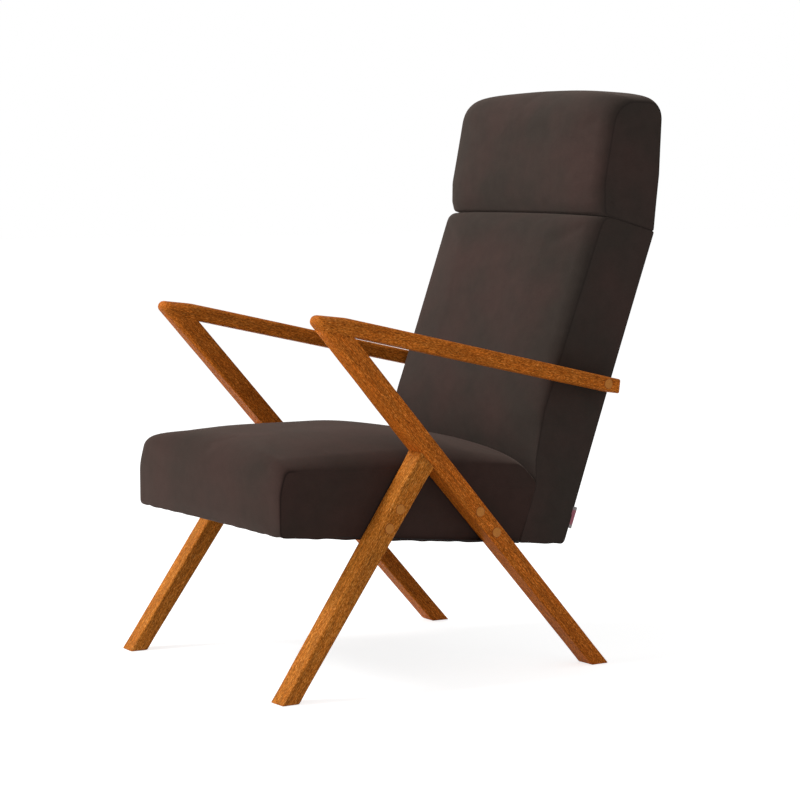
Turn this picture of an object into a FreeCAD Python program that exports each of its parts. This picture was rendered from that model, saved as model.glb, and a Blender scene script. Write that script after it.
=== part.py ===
import FreeCAD, Part
import math
import os
import re

import Sketcher
from FreeCAD import Placement, Rotation, Vector

# Lounge chair: two wooden side frames carry an upholstered seat and a tall back.
# Millimetres, +Z up, the sitter faces -Y, +X is the sitter's left.  The origin
# lies on the floor under the middle of the chair.  Both side frames toe in
# towards the rear, so every side face is the plane
#     x = half width at the middle - y * tan(toe angle)
# and its mirror image.  Places in side view are (y, z) pairs in that plane.

SIZES = (
    # overall arrangement
    ("half_width", 301.6, "outer face of a side frame from the middle plane, at y = 0"),
    ("toe_angle", 1.83, "degrees by which each side frame turns in towards the rear"),
    ("frame_thickness", 41.0, "thickness of the frame timbers, across the chair"),
    ("fabric_gap", 0.3, "clearance between the upholstery and what touches it"),
    ("overrun", 60.0, "how far cutting shapes run past what they cut"),
    # long leg, from the nose of the armrest down to the rear foot
    ("rear_foot_front_y", 239.5, "front edge of the rear foot at the floor"),
    ("rear_foot_length", 38.0, "rear foot at the floor, front to rear"),
    ("nose_y", -342.9, "front end of the joint between long leg and armrest"),
    ("nose_z", 639.9, "its height"),
    ("crook_run", 62.8, "from there back to the inner corner of leg and armrest"),
    ("crook_drop", 13.5, "from there down to that corner"),
    # front leg
    ("front_foot_front_y", -427.5, "front edge of the front foot at the floor"),
    ("front_foot_length", 34.0, "front foot at the floor, front to rear"),
    ("joint_top_z", 419.2, "upper end of the joint with the long leg"),
    ("joint_length", 28.4, "height of that joint"),
    # armrest
    ("arm_height", 32.0, "height of the armrest over the inner corner"),
    ("arm_fall", 124.7, "how far its underside falls to the rear end"),
    ("arm_end_height", 26.3, "height of its rear end"),
    ("arm_end_lean", 3.5, "how far the rear end's top stands behind its bottom"),
    ("arm_end_overhang", 26.0, "rear end behind its bolt"),
    ("nose_radius", 16.5, "rounding of the knuckle at the front of the armrest"),
    ("arm_edge_radius", 8.0, "rounding of the armrest's upper edges"),
    ("timber_edge_radius", 3.5, "rounding of the other long edges"),
    # feet
    ("glide_height", 2.0, "nylon glide under each foot"),
    ("glide_radius", 11.0, "its disc"),
    ("glide_pin_radius", 2.5, "its pin"),
    ("glide_pin_length", 14.0, "length of the pin inside the leg"),
    # dowels
    ("dowel_radius", 4.0, "joint dowels"),
    ("dowel_reach", 18.0, "length of a dowel on each side of its joint"),
    ("dowel_spread", 17.0, "distance between the two dowels of a leg joint"),
    # bolts between the side frames and the upholstered bodies
    ("front_bolt_rise", 38.2, "upper bolt of the front leg over the seat's lower front corner"),
    ("front_bolt_pitch", 32.4, "from that bolt down to the lower one"),
    ("rear_bolt_rise", 70.5, "upper bolt of the long leg over the seat's lower rear corner"),
    ("rear_bolt_pitch", 39.8, "from that bolt down to the lower one"),
    ("arm_bolt_inset", 15.9, "armrest's bolt behind the front of the back's stile"),
    ("plug_radius", 9.5, "wooden plug that covers a bolt"),
    ("plug_thickness", 7.0, "its thickness"),
    ("bolt_radius", 4.0, "shank of a bolt"),
    ("bolt_hole_radius", 4.5, "clearance hole for the shank"),
    ("bolt_head_radius", 6.5, "head of a bolt"),
    ("bolt_head_height", 8.0, "its height"),
    ("bolt_length", 49.0, "shank length below the head"),
    ("washer_radius", 8.5, "washer under the head"),
    ("washer_thickness", 1.6, "its thickness"),
    ("plug_pocket_slack", 0.4, "free depth between a plug and the bolt head"),
    ("insert_radius", 6.0, "threaded insert in the inner rail"),
    ("insert_length", 20.0, "its length"),
    # seat, outline of its side panel
    ("seat_bottom_front_y", -406.5, "lower front corner"),
    ("seat_bottom_front_z", 283.8, "its height"),
    ("seat_front_lean", 17.5, "how far the upper front corner stands behind it"),
    ("seat_side_height", 124.2, "height of the side panel at the front"),
    ("seat_crease_y", 137.5, "where the seat meets the front of the back"),
    ("seat_shoulder_run", 56.5, "from there forward to where the top starts to fall"),
    ("seat_shoulder_drop", 13.5, "how far the top sinks from the front to that place"),
    ("seat_crease_drop", 37.5, "how far the top falls from there to the crease"),
    ("seat_heel_drop", 20.0, "from the crease down to where the meeting face tilts"),
    ("seat_heel_run", 36.6, "how far the meeting face tilts forward at its lower end"),
    ("seat_bottom_fall", 48.9, "how far the underside falls towards the rear"),
    ("seat_crown", 22.0, "rise of the seat's top in the middle"),
    ("seat_front_bulge", 4.0, "bulge of its front"),
    ("seat_shoulder_shift", 28.0, "how much further back the top stays up in the middle"),
    ("seat_crease_rise", 40.0, "how much higher the crease lies in the middle"),
    ("seat_front_radius", 15.0, "rounding of the upper front edge"),
    ("seat_bottom_radius", 9.0, "rounding of the lower front edge"),
    ("seat_shoulder_radius", 38.0, "rounding where the top starts to fall"),
    ("seat_crease_radius", 14.0, "rounding at the crease"),
    # back, outline of its side panel
    ("back_foot_depth", 102.1, "lower end of the back, front to rear"),
    ("back_foot_drop", 9.8, "how far its underside falls towards the rear"),
    ("back_height", 573.0, "height of its rear, up to the seam under the headrest"),
    ("back_lean", 207.4, "how far the rear leans back over that height"),
    ("back_top_depth", 116.6, "back at the seam under the headrest, front to rear"),
    ("back_top_rise", 32.8, "how much higher the seam's front end lies"),
    ("lumbar_start", 27.0, "from the crease up to where the front starts to lean back"),
    ("lumbar_length", 89.4, "height of the first stretch over that"),
    ("lumbar_step", 19.8, "how far that stretch leans back"),
    ("lumbar_bulge", 9.0, "bulge of the front over the seat"),
    ("back_bulge", 22.0, "bulge of the front under the headrest"),
    ("back_bottom_radius", 12.0, "rounding of the lower rear edge"),
    ("back_lumbar_radius", 90.0, "easing of the front over the seat"),
    ("back_shoulder_radius", 30.0, "rounding of the front under the headrest"),
    ("lumbar_low_rise", 20.0, "how much higher the back starts to lean in the middle"),
    # headrest, outline of its side panel
    ("head_overhang", 0.3, "how far its front stands before the seam's front end"),
    ("head_lip_rise", 19.1, "from the seam up to its lip"),
    ("head_cheek_rise", 38.0, "from the lip up to where the front starts to lean back"),
    ("head_lean", 30.5, "how far the front leans back"),
    ("head_height", 209.1, "from the seam's front end up to the side panel's top"),
    ("head_top_fall", 3.5, "how far the top sinks towards the rear"),
    ("head_rear_overhang", 17.1, "how far the upper rear corner stands behind the seam"),
    ("nape_overhang", 12.6, "how far the bend of the rear stands behind the seam"),
    ("nape_rise", 106.9, "height of that bend over the seam's rear end"),
    ("head_bulge", 20.0, "bulge of the headrest's front"),
    ("head_seam_bulge", 7.0, "bulge of the seam under its lip"),
    ("head_crown", 23.0, "rise of its top in the middle"),
    ("head_lip_radius", 13.0, "rounding of the lip"),
    ("head_cheek_radius", 60.0, "easing of the front"),
    ("head_front_radius", 22.0, "rounding of the upper front edge"),
    ("head_rear_radius", 10.0, "rounding of the upper rear edge"),
    # inside the upholstery
    ("cover_wall", 4.0, "padded cover over the inner frame"),
    ("panel_thickness", 3.0, "closing panels under the seat and behind the back"),
    ("rail_thickness", 24.0, "thickness of the inner side rails"),
    ("rail_height", 75.0, "height of the seat rails"),
    ("rail_lift", 5.0, "from the seat's underside up to its rails"),
    ("rail_end_gap", 2.9, "side rails' rear end before the seat's lower rear corner"),
    ("rear_rail_height", 33.0, "height of the seat's rear rail, over the brackets"),
    ("rear_rail_inset", 48.0, "front of the rear rail before the side rails' rear end"),
    ("stile_gap", 5.0, "from the rear of the back to its stiles"),
    ("stile_depth", 46.0, "stiles of the back, front to rear"),
    ("stile_lift", 14.9, "lower end of the stiles over the back's lower rear corner"),
    ("stile_bend_rise", 1.9, "bend of the stiles over the seam under the headrest"),
    ("stile_top_inset", 8.5, "stiles' upper end before the headrest's upper rear corner"),
    ("stile_top_drop", 30.0, "stiles' upper end under the headrest's top"),
    ("cross_rail_depth", 22.0, "cross rails of the back, front to rear"),
    ("cross_rail_height", 60.0, "their height"),
    ("bottom_rail_lift", 5.0, "underside of the bottom rail over the stiles' lower end"),
    ("lumbar_rail_rise", 73.0, "underside of the lumbar rail over the crease"),
    ("neck_rail_drop", 65.0, "underside of the neck rail under the stiles' bend"),
    ("head_rail_drop", 62.0, "underside of the head rail under the stiles' upper end"),
    ("strap_thickness", 2.0, "elastic webbing"),
    ("strap_width", 60.0, "its width"),
    ("seat_strap_pitch", 92.0, "spacing of the seat's straps"),
    ("back_strap_pitch", 88.0, "spacing of the back's straps"),
    ("back_strap_rise", 119.9, "lowest strap of the back over its lower rear corner"),
    ("back_foam_lift", 86.9, "lower end of the back's foam over that corner"),
    # brackets between seat and back
    ("bracket_thickness", 4.0, "steel plate"),
    ("bracket_seat_length", 66.0, "plate before the side rails' rear end"),
    ("bracket_back_length", 85.0, "plate behind it"),
    ("bracket_lift", 7.5, "underside of the plate over the seat's underside, at its front"),
    ("bracket_fall", 3.0, "how far the plate falls towards the rear"),
    ("bracket_height", 34.0, "height of the plate"),
    ("screw_radius", 2.5, "bracket screws"),
    ("screw_length", 20.0, "their length below the head"),
    ("screw_head_radius", 5.5, "their head"),
    ("screw_head_height", 3.0, "its height"),
    ("screw_inset", 11.0, "from a plate's end to its first screw"),
    ("screw_pitch", 24.0, "spacing of two screws at one end"),
    # plain folded tab in the rear seam
    ("tab_thickness", 0.9, "folded ribbon"),
    ("tab_length", 41.0, "along the seam"),
    ("tab_reach", 7.0, "how far it stands out"),
    ("tab_lift", 28.9, "its lower end over the back's lower rear corner"),
)

# Places that follow from the sizes and from each other.
PLACES = {
    "rear_foot_back_y": "rear_foot_front_y + rear_foot_length",
    "front_foot_back_y": "front_foot_front_y + front_foot_length",
    "crook_y": "nose_y + crook_run",
    "crook_z": "nose_z - crook_drop",
    "joint_bottom_z": "joint_top_z - joint_length",
    # seat
    "seat_top_front_y": "seat_bottom_front_y + seat_front_lean",
    "seat_top_front_z": "seat_bottom_front_z + seat_side_height",
    "seat_shoulder_y": "seat_crease_y - seat_shoulder_run",
    "seat_shoulder_z": "seat_top_front_z - seat_shoulder_drop",
    "seat_crease_z": "seat_shoulder_z - seat_crease_drop",
    "seat_heel_z": "seat_crease_z - seat_heel_drop",
    "seat_bottom_rear_y": "seat_crease_y - seat_heel_run",
    "seat_bottom_rear_z": "seat_bottom_front_z - seat_bottom_fall",
    # back
    "back_rear_bottom_y": "seat_bottom_rear_y + back_foot_depth",
    "back_rear_bottom_z": "seat_bottom_rear_z - back_foot_drop",
    "back_rear_top_y": "back_rear_bottom_y + back_lean",
    "back_rear_top_z": "back_rear_bottom_z + back_height",
    "back_front_top_y": "back_rear_top_y - back_top_depth",
    "back_front_top_z": "back_rear_top_z + back_top_rise",
    "lumbar_low_z": "seat_crease_z + lumbar_start",
    "lumbar_y": "seat_crease_y + lumbar_step",
    "lumbar_z": "lumbar_low_z + lumbar_length",
    # headrest
    "head_front_y": "back_front_top_y - head_overhang",
    "head_lip_z": "back_front_top_z + head_lip_rise",
    "head_cheek_z": "head_lip_z + head_cheek_rise",
    "head_top_front_y": "head_front_y + head_lean",
    "head_top_z": "back_front_top_z + head_height",
    "head_top_rear_y": "back_rear_top_y + head_rear_overhang",
    "head_top_rear_z": "head_top_z - head_top_fall",
    "head_nape_y": "back_rear_top_y + nape_overhang",
    "head_nape_z": "back_rear_top_z + nape_rise",
    # armrest's rear end, bolted to the back's stile
    "arm_end_bottom_z": "crook_z - arm_fall",
    "arm_end_top_z": "arm_end_bottom_z + arm_end_height",
    "arm_end_rise": "arm_end_bottom_z + arm_end_height / 2 - back_rear_bottom_z",
    "arm_bolt_y": "back_rear_bottom_y + arm_end_rise * back_lean / back_height"
                  " - stile_gap - stile_depth + arm_bolt_inset",
    "arm_end_bottom_y": "arm_bolt_y + arm_end_overhang",
    "arm_end_top_y": "arm_end_bottom_y + arm_end_lean",
    # bolts
    "front_bolt_upper_z": "seat_bottom_front_z + front_bolt_rise",
    "front_bolt_lower_z": "front_bolt_upper_z - front_bolt_pitch",
    "rear_bolt_upper_z": "seat_bottom_rear_z + rear_bolt_rise",
    "rear_bolt_lower_z": "rear_bolt_upper_z - rear_bolt_pitch",
    # inner frame
    "seat_rail_rear_y": "seat_bottom_rear_y - rail_end_gap",
    "rear_rail_behind": "seat_rail_rear_y - rear_rail_inset - seat_bottom_front_y",
    "stile_bottom_z": "back_rear_bottom_z + stile_lift",
    "stile_bend_z": "back_rear_top_z + stile_bend_rise",
    "stile_top_y": "head_top_rear_y - stile_top_inset",
    "stile_top_z": "head_top_z - stile_top_drop",
    "bottom_rail_z": "stile_bottom_z + bottom_rail_lift",
    "lumbar_rail_z": "seat_crease_z + lumbar_rail_rise",
    "neck_rail_z": "stile_bend_z - neck_rail_drop",
    "head_rail_z": "stile_top_z - head_rail_drop",
    "back_strap_start_z": "back_rear_bottom_z + back_strap_rise",
    "back_foam_bottom_z": "back_rear_bottom_z + back_foam_lift",
    "bracket_front_y": "seat_rail_rear_y - bracket_seat_length",
    "bracket_rear_y": "seat_rail_rear_y + bracket_back_length",
    "bracket_front_z": "seat_bottom_front_z + bracket_lift - seat_bottom_fall"
                       " * (bracket_front_y - seat_bottom_front_y)"
                       " / (seat_bottom_rear_y - seat_bottom_front_y)",
    "bracket_rear_z": "bracket_front_z - bracket_fall",
    "tab_bottom_z": "back_rear_bottom_z + tab_lift",
}

SIDES = (("right", -1), ("left", 1))
SEAT_STRAPS = 5
BACK_STRAPS = 5
NOSE_DOWEL_SHARES = (0.52, 0.8)

# Where the sections of a crowned cushion stand, from the middle out to the side
# seam, as shares of the half width, and how its crown falls off towards them.
STATION_SHARES = (0.0, 0.4, 0.68, 0.85, 0.94, 0.985, 1.0)
CROWN_POWER = 3.0
SHOULDER_TIGHTENING_SHARE = 0.5


doc = FreeCAD.newDocument("LoungeChair")
sheet = doc.addObject("Spreadsheet::Sheet", "Sizes")
for row, (alias, number, note) in enumerate(SIZES, 1):
    sheet.set("A%d" % row, note)
    sheet.set("B%d" % row, str(number))
    sheet.setAlias("B%d" % row, alias)
doc.recompute()

ALIAS = re.compile(r"\b(" + "|".join(name for name, _, _ in SIZES) + r")\b")
PLACE = re.compile(r"\b(" + "|".join(PLACES) + r")\b")
PARTS = []


# Small helpers

def bound(text):
    """The expression with its places written out and every alias at the sheet."""
    while PLACE.search(text):
        text = PLACE.sub(lambda found: "(" + PLACES[found.group()] + ")", text)
    return ALIAS.sub(r"Sizes.\1", text)


def size(text):
    """What an expression in the sheet's aliases comes to."""
    return float(sheet.evalExpression(bound(text)))


def keep(obj, label):
    """Marks a finished sub-part; its label names its file."""
    obj.Label = label
    PARTS.append(obj)
    return obj


def side_placement(side):
    """From a side frame's own coordinates to the chair's."""
    turn = Rotation(Vector(0, 0, 1), side * size("toe_angle"))
    return Placement(Vector(side * size("half_width"), 0, 0), turn)


def slope(y0, z0, y1, z1, at_z):
    """The y of the line through two points, at a height, as an expression."""
    return f"({y0} + ({at_z} - {z0}) * ({y1} - {y0}) / ({z1} - {z0}))"


def level(y0, z0, y1, z1, at_y):
    """The height of the line through two points, at a y, as an expression."""
    return f"({z0} + ({at_y} - {y0}) * ({z1} - {z0}) / ({y1} - {y0}))"


def plane_of(body, role):
    return next(f for f in body.Origin.OriginFeatures if f.Role == role)


def new_body(name):
    return doc.addObject("PartDesign::Body", name)


def pin(sketch, geo, pos, x_text, y_text):
    """Holds a point of a sketch at two expressions."""
    for kind, text, axis in (("DistanceX", x_text, -2), ("DistanceY", y_text, -1)):
        number = size(text)
        if text == "0":
            sketch.addConstraint(Sketcher.Constraint("PointOnObject", geo, pos, axis))
            continue
        index = sketch.addConstraint(Sketcher.Constraint(kind, -1, 1, geo, pos, number))
        sketch.setExpression("Constraints[%d]" % index, bound(text))


def sketch_on(body, role, name):
    sketch = body.newObject("Sketcher::SketchObject", name)
    sketch.AttachmentSupport = (plane_of(body, role), [""])
    sketch.MapMode = "FlatFace"
    return sketch


def draw_outline(sketch, points):
    """A closed outline of straight edges through points given as expressions."""
    places = [Vector(size(a), size(b), 0) for a, b in points]
    count = len(points)
    first = len(sketch.Geometry)
    for i in range(count):
        sketch.addGeometry(Part.LineSegment(places[i], places[(i + 1) % count]), False)
    for i in range(count):
        after = first + (i + 1) % count
        sketch.addConstraint(Sketcher.Constraint("Coincident", first + i, 2, after, 1))
    for i, (a, b) in enumerate(points):
        pin(sketch, first + i, 1, a, b)


def draw_circle(sketch, a, b, radius):
    centre = Vector(size(a), size(b), 0)
    circle = Part.Circle(centre, Vector(0, 0, 1), size(radius))
    geo = sketch.addGeometry(circle, False)
    index = sketch.addConstraint(Sketcher.Constraint("Radius", geo, size(radius)))
    sketch.setExpression("Constraints[%d]" % index, bound(radius))
    pin(sketch, geo, 3, a, b)


def pad_outline(body, name, points, thickness, inward):
    """Pads a side-view outline; inward is the sense along local X."""
    sketch = sketch_on(body, "YZ_Plane", name + "_outline")
    draw_outline(sketch, points)
    pad = body.newObject("PartDesign::Pad", name + "_pad")
    pad.Profile = sketch
    pad.setExpression("Length", bound(thickness))
    pad.Reversed = inward < 0
    doc.recompute()
    return pad


def drill(body, name, places, radius, depth, inward):
    """Round holes from the outer face inwards."""
    before = body.Shape.Volume
    sketch = sketch_on(body, "YZ_Plane", name + "_places")
    for a, b in places:
        draw_circle(sketch, a, b, radius)
    cut = body.newObject("PartDesign::Pocket", name + "_holes")
    cut.Profile = sketch
    cut.setExpression("Length", bound(depth))
    cut.Reversed = inward > 0
    doc.recompute()
    if not body.Shape.Volume < before:
        raise RuntimeError(name + " cuts nothing")
    return cut


def round_edges(body, name, radius, wanted):
    """Rounds the edges of the body's tip that a test picks."""
    base = body.Tip
    names = [
        "Edge%d" % (i + 1)
        for i, edge in enumerate(base.Shape.Edges)
        if wanted(edge)
    ]
    if not names:
        raise RuntimeError(name + " finds no edge")
    fillet = body.newObject("PartDesign::Fillet", name)
    fillet.Base = (base, names)
    fillet.setExpression("Radius", bound(radius))
    doc.recompute()
    return fillet


def runs_along(edge, start, end, reach):
    """Whether a straight edge lies on the side-view line from start to end."""
    if edge.Curve.TypeId != "Part::GeomLine":
        return False
    line = Vector(0, end[0] - start[0], end[1] - start[1])
    line.normalize()
    for vertex in edge.Vertexes:
        away = Vector(0, vertex.Point.y - start[0], vertex.Point.z - start[1])
        if away.cross(line).Length > reach:
            return False
    ends = edge.Vertexes
    span = Vector(0, ends[1].Point.y - ends[0].Point.y, ends[1].Point.z - ends[0].Point.z)
    return span.Length > reach


def long_edges(lines):
    """A test for edges along any of the side-view lines, given as expressions."""
    numbers = [[(size(a), size(b)) for a, b in line] for line in lines]
    reach = size("fabric_gap")
    return lambda edge: any(runs_along(edge, s, e, reach) for s, e in numbers)


def cylinder(name, radius, length, placement):
    obj = doc.addObject("Part::Cylinder", name)
    obj.setExpression("Radius", bound(radius))
    obj.setExpression("Height", bound(length))
    obj.Placement = placement
    return obj


def group(name, members):
    """Several solids of one kind in one sub-part."""
    compound = doc.addObject("Part::Compound", name)
    compound.Links = members
    doc.recompute()
    return keep(compound, name)


# The side frames

LONG_FRONT = ("rear_foot_front_y", "glide_height", "nose_y", "nose_z")
LONG_REAR = ("rear_foot_back_y", "glide_height", "crook_y", "crook_z")
JOINT_TOP = (slope(*LONG_FRONT, "joint_top_z"), "joint_top_z")
JOINT_BOTTOM = (slope(*LONG_FRONT, "joint_bottom_z"), "joint_bottom_z")
FRONT_FRONT = ("front_foot_front_y", "glide_height", *JOINT_TOP)
FRONT_REAR = ("front_foot_back_y", "glide_height", *JOINT_BOTTOM)
ARM_UNDER = ("crook_y", "crook_z", "arm_end_bottom_y", "arm_end_bottom_z")
ARM_OVER = ("crook_y", "(crook_z + arm_height)", "arm_end_top_y", "arm_end_top_z")


def front_leg_middle(z):
    return f"(({slope(*FRONT_FRONT, z)} + {slope(*FRONT_REAR, z)}) / 2)"


def long_leg_middle(z):
    return f"(({slope(*LONG_FRONT, z)} + {slope(*LONG_REAR, z)}) / 2)"


def arm_middle(y):
    return f"(({level(*ARM_UNDER, y)} + {level(*ARM_OVER, y)}) / 2)"


FRONT_BOLTS = [(front_leg_middle(z), z) for z in ("front_bolt_upper_z", "front_bolt_lower_z")]
REAR_BOLTS = [(long_leg_middle(z), z) for z in ("rear_bolt_upper_z", "rear_bolt_lower_z")]
ARM_BOLTS = [("arm_bolt_y", arm_middle("arm_bolt_y"))]
SEAT_BOLTS = FRONT_BOLTS + REAR_BOLTS
POCKET_DEPTH = (
    "(plug_thickness + plug_pocket_slack + bolt_head_height + washer_thickness)"
)


def bolt_holes(body, name, places, inward):
    drill(body, name + "_pocket", places, "plug_radius", POCKET_DEPTH, inward)
    drill(body, name + "_bore", places, "bolt_hole_radius", "frame_thickness", inward)


def crossing(first, second):
    """Where two side-view lines meet, as two expressions."""
    y0, z0, y1, z1 = first
    a0, b0, a1, b1 = second
    lean = f"(({y1} - {y0}) / ({z1} - {z0}))"
    fall = f"(({b1} - {b0}) / ({a1} - {a0}))"
    z = f"(({b0} + {fall} * ({y0} - {lean} * {z0} - {a0})) / (1 - {fall} * {lean}))"
    return f"({y0} + {lean} * ({z} - {z0}))", z


def front_leg(label, side):
    name = "front_leg_" + label
    body = new_body(name + "_body")
    points = [
        FRONT_FRONT[:2],
        JOINT_TOP,
        JOINT_BOTTOM,
        FRONT_REAR[:2],
    ]
    pad_outline(body, name, points, "frame_thickness", -side)
    lines = ((FRONT_FRONT[:2], FRONT_FRONT[2:]), (FRONT_REAR[:2], FRONT_REAR[2:]))
    round_edges(body, name + "_edges", "timber_edge_radius", long_edges(lines))
    bolt_holes(body, name, FRONT_BOLTS, -side)
    body.Placement = side_placement(side)
    return body


def long_leg(label, side):
    name = "long_leg_" + label
    body = new_body(name + "_body")
    points = [
        LONG_FRONT[:2],
        LONG_FRONT[2:],
        LONG_REAR[2:],
        LONG_REAR[:2],
    ]
    pad_outline(body, name, points, "frame_thickness", -side)
    lines = ((LONG_FRONT[:2], LONG_FRONT[2:]), (LONG_REAR[:2], LONG_REAR[2:]))
    round_edges(body, name + "_edges", "timber_edge_radius", long_edges(lines))
    bolt_holes(body, name, REAR_BOLTS, -side)
    body.Placement = side_placement(side)
    return body


def armrest(label, side):
    name = "armrest_" + label
    body = new_body(name + "_body")
    tip = crossing(LONG_FRONT, ARM_OVER)
    points = [
        ("nose_y", "nose_z"),
        tip,
        ARM_OVER[2:],
        ARM_UNDER[2:],
        ARM_UNDER[:2],
    ]
    pad_outline(body, name, points, "frame_thickness", -side)
    tip_y, tip_z = size(tip[0]), size(tip[1])
    reach = size("fabric_gap")

    def at_tip(edge):
        return all(
            math.hypot(v.Point.y - tip_y, v.Point.z - tip_z) < reach
            for v in edge.Vertexes
        )

    round_edges(body, name + "_knuckle", "nose_radius", at_tip)
    top_lines = ((ARM_OVER[:2], ARM_OVER[2:]),)
    round_edges(body, name + "_top_edges", "arm_edge_radius", long_edges(top_lines))
    low_lines = ((ARM_UNDER[:2], ARM_UNDER[2:]),)
    round_edges(body, name + "_low_edges", "timber_edge_radius", long_edges(low_lines))
    bolt_holes(body, name, ARM_BOLTS, -side)
    body.Placement = side_placement(side)
    return body


def inward_at(side, depth, y, z):
    """A placement whose axis runs from the outer face into the chair."""
    turn = Rotation(Vector(0, 0, 1), Vector(-side, 0, 0))
    return side_placement(side).multiply(Placement(Vector(-side * depth, y, z), turn))


def leg_dowels():
    """Two dowels across each butt joint between front leg and long leg."""
    top = Vector(0, size(JOINT_TOP[0]), size(JOINT_TOP[1]))
    bottom = Vector(0, size(JOINT_BOTTOM[0]), size(JOINT_BOTTOM[1]))
    along = bottom - top
    across = Vector(0, -along.z, along.y).normalize()
    middle = (top + bottom) * 0.5 - across * size("dowel_reach")
    members = []
    for label, side in SIDES:
        for row in (-1, 1):
            depth = size("frame_thickness") / 2 + row * size("dowel_spread") / 2
            place = Placement(Vector(-side * depth, middle.y, middle.z),
                              Rotation(Vector(0, 0, 1), across))
            members.append(cylinder(
                f"leg_dowel_{label}_{len(members)}", "dowel_radius", "2 * dowel_reach",
                side_placement(side).multiply(place)))
    return members


def nose_dowels():
    """Two dowels up through each joint between long leg and armrest."""
    front = Vector(0, size("nose_y"), size("nose_z"))
    rear = Vector(0, size("crook_y"), size("crook_z"))
    along = rear - front
    up = Vector(0, -along.z, along.y).normalize()
    members = []
    for label, side in SIDES:
        for share in NOSE_DOWEL_SHARES:
            foot = front + along * share - up * size("dowel_reach")
            place = Placement(Vector(-side * size("frame_thickness") / 2, foot.y, foot.z),
                              Rotation(Vector(0, 0, 1), up))
            members.append(cylinder(
                f"nose_dowel_{label}_{len(members)}", "dowel_radius", "2 * dowel_reach",
                side_placement(side).multiply(place)))
    return members


def along_bolts(name, radius, length, depth):
    """One cylinder per bolt, starting at a depth under the outer face."""
    members = []
    for label, side in SIDES:
        for y, z in SEAT_BOLTS + ARM_BOLTS:
            place = inward_at(side, size(depth), size(y), size(z))
            members.append(cylinder(
                f"{name}_{label}_{len(members)}", radius, length, place))
    return members


def cut_each(name, outer, inner):
    """Cuts each member by its partner."""
    members = []
    for i, (body, tool) in enumerate(zip(outer, inner)):
        cut = doc.addObject("Part::Cut", f"{name}_{i}")
        cut.Base = body
        cut.Tool = tool
        members.append(cut)
    return members


def fuse_each(name, first, second):
    members = []
    for i, pair in enumerate(zip(first, second)):
        fuse = doc.addObject("Part::MultiFuse", f"{name}_{i}")
        fuse.Shapes = list(pair)
        members.append(fuse)
    return members


def cut_from(body_name, target, tools):
    """One sub-part cut by a set of tools."""
    tool = doc.addObject("Part::Compound", body_name + "_tools")
    tool.Links = tools
    cut = doc.addObject("Part::Cut", body_name)
    cut.Base = target
    cut.Tool = tool
    doc.recompute()
    return cut


def build_frames():
    dowel_seats_leg = leg_dowels()
    dowel_seats_nose = nose_dowels()
    group("leg_dowels", dowel_seats_leg)
    group("nose_dowels", dowel_seats_nose)
    for label, side in SIDES:
        glides = []
        for end, front, back in (
            ("front", "front_foot_front_y", "front_foot_back_y"),
            ("rear", "rear_foot_front_y", "rear_foot_back_y"),
        ):
            glides.append(foot_glide(f"foot_glide_{end}_{label}", side, front, back))
        mine = [d for d in dowel_seats_leg if f"_{label}_" in d.Name]
        nose = [d for d in dowel_seats_nose if f"_{label}_" in d.Name]
        front = front_leg(label, side)
        rear = long_leg(label, side)
        arm = armrest(label, side)
        keep(cut_from("front_leg_cut_" + label, front, mine + glides[:1]),
             "front_leg_" + label)
        keep(cut_from("long_leg_cut_" + label, rear, mine + nose + glides[1:]),
             "long_leg_" + label)
        keep(cut_from("armrest_cut_" + label, arm, nose), "armrest_" + label)


def foot_glide(name, side, front, back):
    """A nylon disc under a foot with a pin up into the leg."""
    y = size(f"({front} + {back}) / 2")
    x = -side * size("frame_thickness") / 2
    foot = side_placement(side).multiply(Placement(Vector(x, y, 0), Rotation()))
    disc = cylinder(name + "_disc", "glide_radius", "glide_height", foot)
    rod = cylinder(name + "_pin", "glide_pin_radius", "glide_height + glide_pin_length", foot)
    glide = doc.addObject("Part::MultiFuse", name + "_whole")
    glide.Shapes = [disc, rod]
    doc.recompute()
    return keep(glide, name)


HEAD_DEPTH = "(plug_thickness + plug_pocket_slack)"
SHANK_DEPTH = "(plug_thickness + plug_pocket_slack + bolt_head_height)"
INNER_FACE = "(frame_thickness + fabric_gap + cover_wall)"


def build_fasteners():
    group("bolt_cover_plugs", along_bolts("plug", "plug_radius", "plug_thickness", "0"))
    heads = along_bolts("bolt_head", "bolt_head_radius", "bolt_head_height", HEAD_DEPTH)
    shanks = along_bolts("bolt_shank", "bolt_radius", "bolt_length", SHANK_DEPTH)
    group("frame_bolts", fuse_each("frame_bolt", heads, shanks))
    discs = along_bolts("washer_disc", "washer_radius", "washer_thickness", SHANK_DEPTH)
    bores = along_bolts("washer_bore", "bolt_radius", "washer_thickness", SHANK_DEPTH)
    group("bolt_washers", cut_each("bolt_washer", discs, bores))
    sleeves = along_bolts("insert_sleeve", "insert_radius", "insert_length", INNER_FACE)
    threads = along_bolts("insert_thread", "bolt_radius", "insert_length", INNER_FACE)
    group("threaded_inserts", cut_each("threaded_insert", sleeves, threads))


# Inner frame of seat and back

SEAT_UNDER = (
    "seat_bottom_front_y", "seat_bottom_front_z", "seat_bottom_rear_y", "seat_bottom_rear_z"
)
SEAT_FRONT = (
    "seat_bottom_front_y", "seat_bottom_front_z", "seat_top_front_y", "seat_top_front_z"
)
BACK_REAR = (
    "back_rear_bottom_y", "back_rear_bottom_z", "back_rear_top_y", "back_rear_top_z"
)


def toe_shift(depth):
    """How far a point steps forward between a side frame's face and a depth."""
    return f"(({depth}) * tan(toe_angle * 1 deg))"


def seat_floor(y, lift):
    return f"({level(*SEAT_UNDER, y)} + {lift})"


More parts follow.
